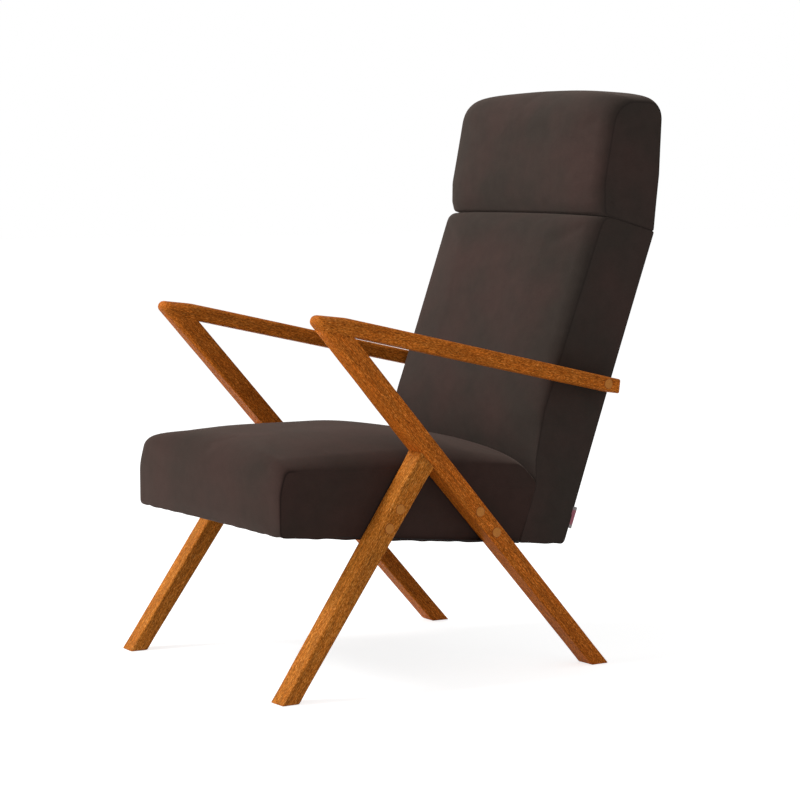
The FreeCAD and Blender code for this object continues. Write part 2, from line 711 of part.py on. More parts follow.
def rail_corner(behind, lift):
    """A corner at a distance behind the seat's front face, over its underside."""
    z = f"(seat_bottom_front_z + {lift})"
    y = f"({slope(*SEAT_FRONT, z)} + {behind})"
    return y, seat_floor(y, lift)


# A side rail stands square to its side frame, so its inner edges lie a little
# further forward than its outer ones.
RAIL_STEP = toe_shift("rail_thickness")
STILE_FRONT = f"(stile_gap + stile_depth + {RAIL_STEP} + fabric_gap)"


def back_rear(z, inset):
    return f"({slope(*BACK_REAR, z)} - {inset})"


def inner_placement(side, depth):
    """A plane at a depth inside a side frame's outer face, with y as the chair's."""
    shift = Vector(-side * size(depth), size(toe_shift(depth)), 0)
    return side_placement(side).multiply(Placement(shift, Rotation()))


def inner_places(places, depth):
    """Where bolts square to a side frame come through the plane at a depth."""
    return [(f"({y} - {toe_shift(depth)})", z) for y, z in places]


def seat_side_rail(label, side):
    name = "seat_side_rail_" + label
    body = new_body(name + "_body")
    top = "(rail_lift + rail_height)"
    behind = f"(cover_wall + fabric_gap + {RAIL_STEP})"
    points = [
        rail_corner(behind, "rail_lift"),
        rail_corner(behind, top),
        ("seat_rail_rear_y", seat_floor("seat_rail_rear_y", top)),
        ("seat_rail_rear_y", seat_floor("seat_rail_rear_y", "rail_lift")),
    ]
    pad_outline(body, name, points, "rail_thickness", -side)
    bolts = inner_places(SEAT_BOLTS, INNER_FACE)
    drill(body, name + "_insert", bolts, "insert_radius", "insert_length", -side)
    drill(body, name + "_shank", bolts, "bolt_hole_radius", "rail_thickness", -side)
    body.Placement = inner_placement(side, INNER_FACE)
    return body


def back_stile(label, side):
    name = "back_stile_" + label
    body = new_body(name + "_body")
    deep = "(stile_gap + stile_depth)"
    points = [
        (back_rear("stile_bottom_z", "stile_gap"), "stile_bottom_z"),
        (back_rear("stile_bend_z", "stile_gap"), "stile_bend_z"),
        ("stile_top_y", "stile_top_z"),
        ("(stile_top_y - stile_depth)", "stile_top_z"),
        (back_rear("stile_bend_z", deep), "stile_bend_z"),
        (back_rear("stile_bottom_z", deep), "stile_bottom_z"),
    ]
    pad_outline(body, name, points, "rail_thickness", -side)
    bolts = inner_places(ARM_BOLTS, INNER_FACE)
    drill(body, name + "_insert", bolts, "insert_radius", "insert_length", -side)
    drill(body, name + "_shank", bolts, "bolt_hole_radius", "rail_thickness", -side)
    body.Placement = inner_placement(side, INNER_FACE)
    return body


def cross_piece(name, points, depth):
    """A piece across the chair between the two side faces at a depth."""
    body = new_body(name)
    sketch = sketch_on(body, "YZ_Plane", name + "_outline")
    draw_outline(sketch, points)
    pad = body.newObject("PartDesign::Pad", name + "_pad")
    pad.Profile = sketch
    pad.setExpression("Length", bound("2 * half_width"))
    pad.Midplane = True
    doc.recompute()
    before = body.Shape.Volume
    low = f"({points[0][0]} - overrun)"
    high = f"({points[0][0]} + 2 * overrun)"
    inset = f"(half_width - ({depth}) / cos(toe_angle * 1 deg))"
    trim = sketch_on(body, "XY_Plane", name + "_ends")
    for sign in ("", "-"):
        near = f"({sign}({inset} - {low} * tan(toe_angle * 1 deg)))"
        far = f"({sign}({inset} - {high} * tan(toe_angle * 1 deg)))"
        out = f"({sign}(half_width + overrun))"
        draw_outline(trim, [(near, low), (out, low), (out, high), (far, high)])
    cut = body.newObject("PartDesign::Pocket", name + "_trim")
    cut.Profile = trim
    cut.Type = "ThroughAll"
    cut.Midplane = True
    doc.recompute()
    if not body.Shape.Volume < before:
        raise RuntimeError(name + " is not trimmed")
    return body


def seat_cross_rail(name, behind, height):
    """A rail across the seat, level with the top of the side rails."""
    low = f"(rail_lift + rail_height - {height})"
    top = "(rail_lift + rail_height)"
    after = f"({behind} + rail_thickness)"
    points = [
        rail_corner(behind, low),
        rail_corner(behind, top),
        rail_corner(after, top),
        rail_corner(after, low),
    ]
    return cross_piece(name, points, f"{INNER_FACE} + rail_thickness")


def back_cross_rail(name, z):
    """A rail across the back, along its rear face."""
    top = f"({z} + cross_rail_height)"
    deep = "(stile_gap + cross_rail_depth)"
    points = [
        (back_rear(z, "stile_gap"), z),
        (back_rear(top, "stile_gap"), top),
        (back_rear(top, deep), top),
        (back_rear(z, deep), z),
    ]
    return cross_piece(name, points, f"{INNER_FACE} + rail_thickness")


STILE_HEAD = (
    back_rear("stile_bend_z", "stile_gap"), "stile_bend_z", "stile_top_y", "stile_top_z"
)


def head_cross_rail(name, z):
    top = f"({z} + cross_rail_height)"
    points = [
        (slope(*STILE_HEAD, z), z),
        (slope(*STILE_HEAD, top), top),
        (f"({slope(*STILE_HEAD, top)} - cross_rail_depth)", top),
        (f"({slope(*STILE_HEAD, z)} - cross_rail_depth)", z),
    ]
    return cross_piece(name, points, f"{INNER_FACE} + rail_thickness")


def strap(name, across, along, place):
    """A flat strap with its two sides given as expressions."""
    box = doc.addObject("Part::Box", name)
    box.setExpression("Length", bound(across))
    box.setExpression("Width", bound(along))
    box.setExpression("Height", bound("strap_thickness"))
    box.Placement = place
    return box


def seat_straps():
    """Elastic straps from the front rail to the rear rail."""
    top = "(rail_lift + rail_height)"
    front = rail_corner("(cover_wall + fabric_gap)", top)
    start = Vector(0, size(front[0]), size(front[1]))
    end_z = size(seat_floor("seat_rail_rear_y", top))
    end = Vector(0, size("seat_rail_rear_y"), end_z)
    fall = math.degrees(math.atan2(end.z - start.z, end.y - start.y))
    turn = Rotation(Vector(1, 0, 0), fall)
    length = str((end - start).Length)
    members = []
    for i in range(SEAT_STRAPS):
        offset = i - (SEAT_STRAPS - 1) / 2
        x = offset * size("seat_strap_pitch") - size("strap_width") / 2
        place = Placement(Vector(x, start.y, start.z), turn)
        members.append(strap(f"seat_strap_{i}", "strap_width", length, place))
    return members


def back_straps():
    """Elastic straps across the front of the stiles."""
    run = size("back_rear_top_y - back_rear_bottom_y")
    rise = size("back_rear_top_z - back_rear_bottom_z")
    lean = math.atan2(run, rise)
    turn = Rotation(Vector(1, 0, 0), 90 - math.degrees(lean))
    reach = size(f"half_width - ({INNER_FACE} + fabric_gap) / cos(toe_angle * 1 deg)")
    toe = math.tan(math.radians(size("toe_angle")))
    members = []
    for i in range(BACK_STRAPS):
        z = size("back_strap_start_z") + i * size("back_strap_pitch")
        low = z - size("strap_width") / 2 * math.cos(lean)
        y = size(back_rear(str(low), STILE_FRONT))
        edge = reach - (y + size("strap_width")) * toe
        place = Placement(Vector(-edge, y, low), turn)
        members.append(strap(f"back_strap_{i}", str(2 * edge), "strap_width", place))
    return members


BRACKET = [
    ("bracket_front_y", "bracket_front_z"),
    ("bracket_rear_y", "bracket_rear_z"),
    ("bracket_rear_y", "(bracket_rear_z + bracket_height)"),
    ("bracket_front_y", "(bracket_front_z + bracket_height)"),
]
BRACKET_FACE = f"({INNER_FACE} + rail_thickness)"


def screw_places():
    line = ("bracket_front_y", "bracket_front_z", "bracket_rear_y", "bracket_rear_z")
    places = []
    for y in (
        "(bracket_front_y + screw_inset)",
        "(bracket_front_y + screw_inset + screw_pitch)",
        "(bracket_rear_y - screw_inset)",
    ):
        places.append((y, f"({level(*line, y)} + bracket_height / 2)"))
    return places


def bracket(label, side):
    name = "seat_back_bracket_" + label
    body = new_body(name)
    pad_outline(body, name, BRACKET, "bracket_thickness", -side)
    drill(body, name + "_screw", screw_places(), "screw_radius", "bracket_thickness", -side)
    body.Placement = inner_placement(side, BRACKET_FACE)
    return body


def screws():
    """Screws through the brackets, outwards into the rails and stiles."""
    seat = size("bracket_thickness")
    top = seat + size("screw_head_height")
    members = []
    for label, side in SIDES:
        plane = inner_placement(side, BRACKET_FACE)
        outward = Rotation(Vector(0, 0, 1), Vector(side, 0, 0))
        for y, z in screw_places():
            number = len(members)
            head_place = Placement(Vector(-side * top, size(y), size(z)), outward)
            head = cylinder(f"screw_head_{label}_{number}", "screw_head_radius",
                            "screw_head_height", plane.multiply(head_place))
            shank_place = Placement(Vector(-side * seat, size(y), size(z)), outward)
            shank = cylinder(f"screw_shank_{label}_{number}", "screw_radius",
                             "screw_length", plane.multiply(shank_place))
            whole = doc.addObject("Part::MultiFuse", f"screw_{label}_{number}")
            whole.Shapes = [head, shank]
            members.append(whole)
    return members


def build_inner_frame():
    all_screws = screws()
    group("bracket_screws", all_screws)
    for label, side in SIDES:
        mine = [s for s in all_screws if f"_{label}_" in s.Name]
        rail = seat_side_rail(label, side)
        keep(cut_from("seat_side_rail_" + label, rail, mine[:2]), "seat_side_rail_" + label)
        stile = back_stile(label, side)
        keep(cut_from("back_stile_" + label, stile, mine[2:]), "back_stile_" + label)
        keep(bracket(label, side), "seat_back_bracket_" + label)
    behind = "(cover_wall + fabric_gap)"
    keep(seat_cross_rail("seat_front_rail", behind, "rail_height"), "seat_front_rail")
    rear_rail = seat_cross_rail("seat_rear_rail", "rear_rail_behind", "rear_rail_height")
    keep(rear_rail, "seat_rear_rail")
    keep(back_cross_rail("back_bottom_rail", "bottom_rail_z"), "back_bottom_rail")
    keep(back_cross_rail("back_lumbar_rail", "lumbar_rail_z"), "back_lumbar_rail")
    keep(back_cross_rail("back_neck_rail", "neck_rail_z"), "back_neck_rail")
    keep(head_cross_rail("headrest_rail", "head_rail_z"), "headrest_rail")
    group("seat_webbing", seat_straps())
    group("back_webbing", back_straps())


# Upholstery

def side_x(share, depth, y):
    """The x of the plane at a share of the way to the side face at a depth."""
    turn = math.radians(size("toe_angle"))
    reach = size("half_width") - depth / math.cos(turn)
    return share * (reach - y * math.tan(turn))


def rounded(points):
    """Straight edges and corner arcs through (y, z, radius) points, as triples."""
    edges = []
    ends = []
    count = len(points)
    for i, (y, z, radius) in enumerate(points):
        here = Vector(0, y, z)
        before = Vector(0, *points[i - 1][:2]) - here
        after = Vector(0, *points[(i + 1) % count][:2]) - here
        if radius <= 0:
            ends.append((here, None, here))
            continue
        half = before.getAngle(after) / 2
        back = radius / math.tan(half)
        start = here + before.normalize() * back
        stop = here + after.normalize() * back
        middle = here + (start + stop - here * 2).normalize() * (radius / math.sin(half) - radius)
        ends.append((start, middle, stop))
    for i, (start, middle, stop) in enumerate(ends):
        if middle is not None:
            edges.append((start, middle, stop))
        edges.append((stop, ends[(i + 1) % count][0]))
    return edges


def section(points, share, depth):
    """A closed wire of a rounded outline in the plane at a share of the width."""
    wire = []
    for places in rounded(points):
        at = [Vector(side_x(share, depth, p.y), p.y, p.z) for p in places]
        if len(at) == 3:
            wire.append(Part.Arc(*at).toShape())
        else:
            wire.append(Part.LineSegment(*at).toShape())
    return Part.Wire(wire)


def crown_at(share):
    return math.sqrt(1 - abs(share) ** CROWN_POWER)


def crowned(outline, depth):
    """A soft solid whose outline swells from the side seams to the middle."""
    shares = [-s for s in reversed(STATION_SHARES[1:])] + list(STATION_SHARES)
    wires = [section(outline(crown_at(s)), s, depth) for s in shares]
    return Part.makeLoft(wires, True, False)


def between_sides(points, depth):
    """A plain solid between the two side faces at a depth."""
    wires = [section([(y, z, 0) for y, z in points], s, depth) for s in (-1, 1)]
    return Part.makeLoft(wires, True, True)


def soft(name, shape, placement=Placement()):
    obj = doc.addObject("Part::Feature", name + "_solid")
    obj.Shape = shape
    obj.Placement = placement
    return keep(obj, name)


def seat_outline(crown):
    n = size
    top = crown * n("seat_crown")
    front = crown * n("seat_front_bulge")
    return [
        (n("seat_bottom_rear_y"), n("seat_bottom_rear_z"), 0),
        (n("seat_bottom_front_y") - front, n("seat_bottom_front_z"), n("seat_bottom_radius")),
        (n("seat_top_front_y") - front, n("seat_top_front_z") + top, n("seat_front_radius")),
        (n("seat_shoulder_y") + crown * n("seat_shoulder_shift"),
         n("seat_shoulder_z") + top,
         n("seat_shoulder_radius") * (1 - crown * SHOULDER_TIGHTENING_SHARE)),
        (n("seat_crease_y"), n("seat_crease_z") + crown * n("seat_crease_rise"),
         n("seat_crease_radius")),
        (n("seat_crease_y"), n("seat_heel_z"), 0),
    ]


def seam_front(bulge):
    """The front end of the seam between back and headrest, moved out along it."""
    y0, z0 = size("back_front_top_y"), size("back_front_top_z")
    y1, z1 = size("back_rear_top_y"), size("back_rear_top_z")
    return y0 - bulge, z0 - bulge * (z1 - z0) / (y1 - y0)


def back_outline(crown):
    n = size
    gap = n("fabric_gap")
    low = crown * n("lumbar_bulge")
    rise = crown * n("lumbar_low_rise")
    top_y, top_z = seam_front(crown * n("back_bulge"))
    return [
        (n("seat_bottom_rear_y") + gap, n("seat_bottom_rear_z"), 0),
        (n("seat_crease_y") + gap, n("seat_heel_z"), 0),
        (n("seat_crease_y") + gap, n("lumbar_low_z") + rise, 0),
        (n("lumbar_y") - low, n("lumbar_z"), n("back_lumbar_radius")),
        (top_y, top_z, n("back_shoulder_radius")),
        (n("back_rear_top_y"), n("back_rear_top_z"), 0),
        (n("back_rear_bottom_y"), n("back_rear_bottom_z"), n("back_bottom_radius")),
    ]


def head_outline(crown):
    n = size
    out = crown * n("head_bulge")
    top = crown * n("head_crown")
    seam_y, seam_z = seam_front(crown * n("head_seam_bulge"))
    return [
        (seam_y, seam_z + n("fabric_gap"), 0),
        (n("head_front_y") - out, n("head_lip_z"), n("head_lip_radius")),
        (n("head_front_y") - out, n("head_cheek_z"), n("head_cheek_radius")),
        (n("head_top_front_y") - out, n("head_top_z") + top, n("head_front_radius")),
        (n("head_top_rear_y"), n("head_top_rear_z") + top, n("head_rear_radius")),
        (n("head_nape_y"), n("head_nape_z"), 0),
        (n("back_rear_top_y"), n("back_rear_top_z") + n("fabric_gap"), 0),
    ]


def meeting(first, second):
    """Where two lines meet, each given by a point and a direction."""
    y0, z0, a, b = first
    y1, z1, c, d = second
    along = ((y1 - y0) * d - (z1 - z0) * c) / (a * d - b * c)
    return y0 + along * a, z0 + along * b


def whole_inset(points, insets):
    """A side-view outline moved inwards, edge by edge; a negative inset is outwards."""
    count = len(points)
    area = sum(
        points[i][0] * points[(i + 1) % count][1] - points[(i + 1) % count][0] * points[i][1]
        for i in range(count)
    )
    lines = []
    for i in range(count):
        y0, z0 = points[i]
        y1, z1 = points[(i + 1) % count]
        length = math.hypot(y1 - y0, z1 - z0)
        step = insets[i] / length * math.copysign(1, area)
        shift = (-(z1 - z0) * step, (y1 - y0) * step)
        lines.append((y0 + shift[0], z0 + shift[1], y1 - y0, z1 - z0))
    return [meeting(lines[i - 1], lines[i]) for i in range(count)]


def corners_of(outline):
    """The sharp side-panel outline, without its roundings."""
    return [(y, z) for y, z, _ in outline(0)]


def at_height(first, second, z):
    """The point of a side-view line at a height."""
    return first[0] + (z - first[1]) * (second[0] - first[0]) / (second[1] - first[1]), z


def bolt_bores():
    """Clearance bores through the covers, for every bolt."""
    length = size("cover_wall + 2 * fabric_gap")
    start = size("frame_thickness")
    return [
        place_shape(Part.makeCylinder(size("bolt_hole_radius"), length),
                    inward_at(side, start, size(y), size(z)))
        for _, side in SIDES
        for y, z in SEAT_BOLTS + ARM_BOLTS
    ]


def place_shape(shape, placement):
    shape.Placement = placement
    return shape


def bracket_slots():
    """Slots for the two brackets, with clearance all round."""
    gap = size("fabric_gap")
    outline = whole_inset([(size(y), size(z)) for y, z in BRACKET], [-gap] * len(BRACKET))
    slots = []
    for _, side in SIDES:
        face = Part.Face(Part.makePolygon([Vector(0, y, z) for y, z in outline + outline[:1]]))
        slot = face.extrude(Vector(-side * (size("bracket_thickness") + 2 * gap), 0, 0))
        depth = f"({BRACKET_FACE} - fabric_gap)"
        slots.append(place_shape(slot, inner_placement(side, depth)))
    return slots


def build_seat():
    n = size
    depth = n("frame_thickness") + n("fabric_gap")
    wall = n("cover_wall")
    gap = n("fabric_gap")
    corners = corners_of(seat_outline)
    hollow = whole_inset(corners, [-n("overrun")] + [wall] * 5)
    cover = crowned(seat_outline, depth)
    cover = cover.cut([between_sides(hollow, depth + wall)] + bolt_bores() + bracket_slots())
    soft("seat_cover", cover)
    foam_lift = n("rail_lift + rail_height + strap_thickness")
    foam = whole_inset(corners, [foam_lift] + [wall + gap] * 5)
    soft("seat_foam", between_sides(foam[:-1], depth + wall + gap))
    lift = n("rail_lift")
    under = whole_inset(corners, [lift - gap - n("panel_thickness")] + [wall + gap] * 5)
    over = whole_inset(corners, [lift - gap] + [wall + gap] * 5)
    soft("seat_dust_cover", between_sides([under[0], under[1], over[1], over[0]],
                                          depth + wall + gap))


def build_back():
    n = size
    depth = n("frame_thickness") + n("fabric_gap")
    wall = n("cover_wall")
    gap = n("fabric_gap")
    past = -n("overrun")
    corners = corners_of(back_outline)
    hollow = whole_inset(corners, [wall] * 4 + [past, past, wall])
    cover = crowned(back_outline, depth)
    cover = cover.cut([between_sides(hollow, depth + wall)] + bolt_bores() + bracket_slots())
    soft("back_cover", cover)
    inner = whole_inset(corners, [wall + gap] * 4 + [gap, wall, wall])
    strap_line = n(f"{STILE_FRONT} + strap_thickness + fabric_gap")
    low_z = n("back_foam_bottom_z")
    rear_low = (n(back_rear("back_foam_bottom_z", str(strap_line))), low_z)
    seam_y = n(back_rear("stile_bend_z", str(strap_line)))
    rear_high = at_height((seam_y, n("stile_bend_z")), rear_low, inner[5][1])
    top = whole_inset(corners, [wall + gap] * 4 + [gap, strap_line, wall])[5]
    foam = [at_height(inner[0], inner[1], low_z), inner[1], inner[2], inner[3], inner[4],
            top, rear_low]
    soft("back_foam", between_sides(foam, depth + wall + gap))
    back = n("stile_gap")
    front = back - n("panel_thickness")
    low = n("back_rear_bottom_z") + wall + 2 * gap
    high = n("back_rear_top_z") - gap
    panel = [(n(back_rear(str(z), str(inset))), z)
             for z, inset in ((low, front), (high, front), (high, back - gap),
                              (low, back - gap))]
    soft("back_rear_panel", between_sides(panel, depth + wall + gap))


def build_headrest():
    n = size
    depth = n("frame_thickness") + n("fabric_gap")
    wall = n("cover_wall")
    gap = n("fabric_gap")
    past = -n("overrun")
    corners = corners_of(head_outline)
    hollow = whole_inset(corners, [wall] * 4 + [past] * 3)
    cover = crowned(head_outline, depth).cut(between_sides(hollow, depth + wall))
    soft("headrest_cover", cover)
    back = n("stile_gap")
    inner = whole_inset(corners, [wall + gap] * 4 + [back + gap] * 2 + [gap])
    over = n("stile_top_z") + gap
    high = (n(f"stile_top_y - stile_depth - {RAIL_STEP} - fabric_gap"), over)
    low = (n(back_rear("stile_bend_z", STILE_FRONT)), n("stile_bend_z"))
    front_of_stile = (*high, low[0] - high[0], low[1] - high[1])
    seam = (*inner[0], inner[6][0] - inner[0][0], inner[6][1] - inner[0][1])
    foot = meeting(front_of_stile, seam)
    foam = inner[:5] + [at_height(inner[4], inner[5], over), high, foot]
    soft("headrest_foam", between_sides(foam, depth + wall + gap))
    front = back - n("panel_thickness")
    top = n("head_top_rear_z") - wall - gap
    bottom = n("back_rear_top_z") + gap
    outer = whole_inset(corners, [wall] * 4 + [front] * 2 + [gap])
    within = whole_inset(corners, [wall] * 4 + [back - gap] * 2 + [gap])
    panel = [
        at_height(outer[5], outer[6], bottom),
        outer[5],
        at_height(outer[5], outer[4], top),
        at_height(within[5], within[4], top),
        within[5],
        at_height(within[5], within[6], bottom),
    ]
    soft("headrest_rear_panel", between_sides(panel, depth + wall + gap))


def build_tab():
    """A plain folded ribbon that stands out of the seam behind the left side."""
    side = SIDES[1][1]
    depth = size("frame_thickness + fabric_gap + cover_wall / 2")
    low_z = size("tab_bottom_z")
    high_z = size("tab_bottom_z + tab_length")
    low = (size(back_rear(str(low_z), "(-fabric_gap)")), low_z)
    high = (size(back_rear(str(high_z), "(-fabric_gap)")), high_z)
    reach = size("tab_reach")
    outline = [low, (low[0] + reach, low[1]), (high[0] + reach, high[1]), high, low]
    face = Part.Face(Part.makePolygon([Vector(0, y, z) for y, z in outline]))
    ribbon = face.extrude(Vector(-side * size("tab_thickness"), 0, 0))
    soft("side_tab", ribbon, inner_placement(side, str(depth)))


def build_upholstery():
    build_seat()
    build_back()
    build_headrest()
    build_tab()


build_frames()
build_fasteners()
build_inner_frame()
build_upholstery()

doc.recompute()
for obj in doc.Objects:
    if "Invalid" in obj.State or "Error" in obj.State:
        raise RuntimeError(f"{obj.Label} failed: {obj.State}")
os.makedirs("parts", exist_ok=True)
for obj in PARTS:
    shape = obj.Shape
    if shape.isNull() or not shape.isValid():
        raise RuntimeError(obj.Label + " has no valid shape")
    shape.exportStep(f"parts/{obj.Label}.step")
    print(f"{obj.Label:32s} {len(shape.Solids):3d} solids  {shape.Volume / 1000:10.1f} cm3")
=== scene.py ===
import math

import bmesh
import bpy
from bpy.props import FloatProperty, FloatVectorProperty, PointerProperty
from mathutils import Matrix, Vector


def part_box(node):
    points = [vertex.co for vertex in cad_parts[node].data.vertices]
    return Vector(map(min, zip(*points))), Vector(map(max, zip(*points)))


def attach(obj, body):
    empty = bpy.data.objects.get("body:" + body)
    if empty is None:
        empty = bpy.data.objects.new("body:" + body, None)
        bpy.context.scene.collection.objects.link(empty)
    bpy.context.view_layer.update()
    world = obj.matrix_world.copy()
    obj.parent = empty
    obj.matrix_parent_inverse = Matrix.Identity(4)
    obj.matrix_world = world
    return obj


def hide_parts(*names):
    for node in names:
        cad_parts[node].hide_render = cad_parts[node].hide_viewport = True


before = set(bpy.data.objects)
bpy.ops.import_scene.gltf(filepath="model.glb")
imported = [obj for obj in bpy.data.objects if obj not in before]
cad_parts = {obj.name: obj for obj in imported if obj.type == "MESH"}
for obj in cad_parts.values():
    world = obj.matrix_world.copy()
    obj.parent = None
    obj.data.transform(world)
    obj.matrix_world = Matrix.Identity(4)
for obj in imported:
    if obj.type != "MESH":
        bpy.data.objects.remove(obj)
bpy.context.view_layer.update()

bl_info = {
    "name": "Lounge Chair",
    "version": (1, 0, 0),
    "blender": (4, 5, 0),
    "location": "3D View > Sidebar > Chair",
    "description": "Upholstered lounge chair with crossed wooden side frames",
    "category": "Add Mesh",
}

MM = 0.001
# Plugs on a side frame, as y and z in side view, in millimetres
PLUG_PLACES = ((-186.5, 322.0), (-209.2, 289.6), (-15.5, 305.4), (20.5, 265.6), (272.8, 521.0))
SIDES = (("right", -1), ("left", 1))
BODY = "root"


# Sizes and colours

def length(name, description, default):
    """A length, given in millimetres."""
    return FloatProperty(name=name, description=description, default=default * MM,
                         unit="LENGTH", precision=4)


def angle(name, description, default):
    """An angle, given in degrees."""
    return FloatProperty(name=name, description=description, default=math.radians(default),
                         subtype="ANGLE")


def number(name, description, default):
    return FloatProperty(name=name, description=description, default=default)


def colour(name, description, default):
    return FloatVectorProperty(name=name, description=description, default=default,
                               subtype="COLOR", size=3, min=0.0, max=1.0)


class TimberSizes(bpy.types.PropertyGroup):
    """Sizes of the side frames. Places in side view are y and z."""

    half_width: length("Half width", "Outer face of a side frame at y = 0", 301.6)
    toe_angle: angle("Toe angle", "Turn of a side frame towards the rear", 1.83)
    thickness: length("Thickness", "Timbers, across the chair", 41.0)
    floor_gap: length("Floor gap", "Height of the feet over the floor", 0.8)
    rear_foot_y: length("Rear foot", "Front edge of the rear foot", 239.5)
    rear_foot_length: length("Rear foot length", "Rear foot, front to rear", 38.0)
    nose_y: length("Nose", "Front end of the joint between long leg and armrest", -342.9)
    nose_z: length("Nose height", "Height of that end", 639.9)
    crook_run: length("Crook run", "From the nose back to the inner corner", 62.8)
    crook_drop: length("Crook drop", "From the nose down to the inner corner", 13.5)
    front_foot_y: length("Front foot", "Front edge of the front foot", -427.5)
    front_foot_length: length("Front foot length", "Front foot, front to rear", 34.0)
    joint_top_z: length("Joint top", "Upper end of the joint of the two legs", 419.2)
    joint_length: length("Joint length", "Height of that joint", 28.4)
    arm_height: length("Armrest height", "Armrest over the inner corner", 30.4)
    arm_end_y: length("Armrest end", "Rear end of the armrest's underside", 298.8)
    arm_fall: length("Armrest fall", "How far the underside falls to the rear", 124.7)
    arm_end_height: length("Armrest end height", "Height of the rear end", 26.3)
    arm_end_lean: length("Armrest end lean", "Rear end's top behind its bottom", 3.5)
    bend_run: length("Bend run", "From the inner corner forward to the bend of the top", 16.0)
    bend_slope: angle("Bend slope", "Slope of the top towards the knuckle", 6.5)
    bend_radius: length("Bend radius", "Easing of that bend", 130.0)
    knuckle_radius: length("Knuckle radius", "Rounding of the knuckle in side view", 10.5)
    knuckle_edge: length("Knuckle edge", "Rounding of the knuckle's side edges", 16.0)
    arm_edge: length("Armrest edge", "Rounding of the armrest's upper edges", 8.0)
    leg_edge: length("Leg edge", "Rounding of the long leg above its joint", 8.5)
    plain_edge: length("Plain edge", "Rounding of the other long edges", 3.2)
    foot_edge: length("Foot edge", "Rounding of the edges at a foot", 1.8)
    joint_edge: length("Joint edge", "Hairline edge where two timbers join", 0.5)
    end_edge: length("End edge", "Rounding of the armrest's rear end", 2.6)
    plug_radius: length("Plug radius", "Wooden plug over a bolt", 9.4)
    plug_proud: length("Plug height", "How far a plug stands out", 1.2)
    plug_depth: length("Plug depth", "Part of a plug that sits in its hole", 5.0)


class CushionSizes(bpy.types.PropertyGroup):
    """What the three upholstered bodies share."""

    fabric_gap: length("Fabric gap", "Clearance to what touches the fabric", 0.3)
    draw_in: length("Draw in", "How far the side seams are drawn in", 2.4)
    seam_groove: length("Seam groove", "Depth of a seam", 1.4)
    seam_lip: length("Seam lip", "Flat strip beside a seam, on the side panel", 2.6)
    side_swell: length("Side swell", "Most that a side panel may swell", 1.0)
    corner: length("Corner", "Smallest rounding of an edge", 3.5)
    spacing: length("Spacing", "Length of a mesh cell", 10.0)
    hem_wave: length("Hem wave", "Unevenness of the lower hem", 1.2)
    hem_reach: length("Hem reach", "Height up to which it shows", 14.0)
    swell: length("Swell", "Most that the filling may push the cover out", 5.0)


class SeatSizes(bpy.types.PropertyGroup):
    """Outline of the seat's side panel, and its crown."""

    front_y: length("Front", "Lower front corner", -406.5)
    front_z: length("Front underside", "Height of that corner", 283.8)
    front_lean: length("Front lean", "Upper front corner behind the lower one", 13.0)
    side_height: length("Side height", "Side panel at the front", 124.2)
    crease_y: length("Crease", "Where the seat meets the back", 137.5)
    shoulder_run: length("Shoulder run", "From the crease to where the top falls", 34.0)
    shoulder_drop: length("Shoulder drop", "Fall of the top up to there, at the sides", 29.0)
    shoulder_rise: length("Shoulder rise", "Less of it in the middle", 30.0)
    crease_drop: length("Crease drop", "From the side panel's top to the crease", 51.0)
    heel_drop: length("Heel drop", "From the crease to where the face tilts", 20.0)
    heel_run: length("Heel run", "Tilt of the meeting face", 36.6)
    bottom_fall: length("Bottom fall", "Fall of the underside to the rear", 48.9)
    crown: length("Crown", "Rise of the top in the middle", 26.5)
    crown_power: number("Crown power", "More keeps the top level further out", 3.6)
    roll: length("Roll", "Side edge of the top rolled down", 22.0)
    roll_share: number("Roll share", "Part of the half width that rolls down", 0.30)
    front_roll: number("Front roll", "Part of the roll at the front edge", 0.45)
    front_crown: length("Front crown", "Rise of the front edge in the middle", 21.0)
    dome_front_y: length("Dome's front", "Front end of the level part of the top", -285.0)
    dome_rear_y: length("Dome's rear", "Rear end of that part", -55.0)
    dome_radius: length("Dome radius", "Easing at both ends", 330.0)
    side_dome: length("Side dome", "Level part over the front edge, at the sides", 3.0)
    crease_dip: length("Crease dip", "Crease under its line, at the sides", 14.0)
    knee_height: length("Knee", "Height up to which the front is upright", 78.0)
    knee_bulge: length("Knee bulge", "Bulge of the front there, over the lower edge", 4.0)
    knee_radius: length("Knee radius", "Easing of the front there", 110.0)
    front_easing: length("Front easing", "Softer front edge in the middle", 22.0)
    front_bulge: length("Front bulge", "Bulge of the front, low down", 5.0)
    top_bulge: length("Top bulge", "Bulge of the front's upper edge", 16.0)
    crease_rise: length("Crease rise", "Crease higher in the middle", 48.0)
    front_radius: length("Front radius", "Rounding of the upper front edge", 13.0)
    bottom_radius: length("Bottom radius", "Rounding of the lower front edge", 9.0)
    shoulder_radius: length("Shoulder radius", "Rounding where the top falls", 42.0)
    crease_radius: length("Crease radius", "Rounding at the crease", 14.0)


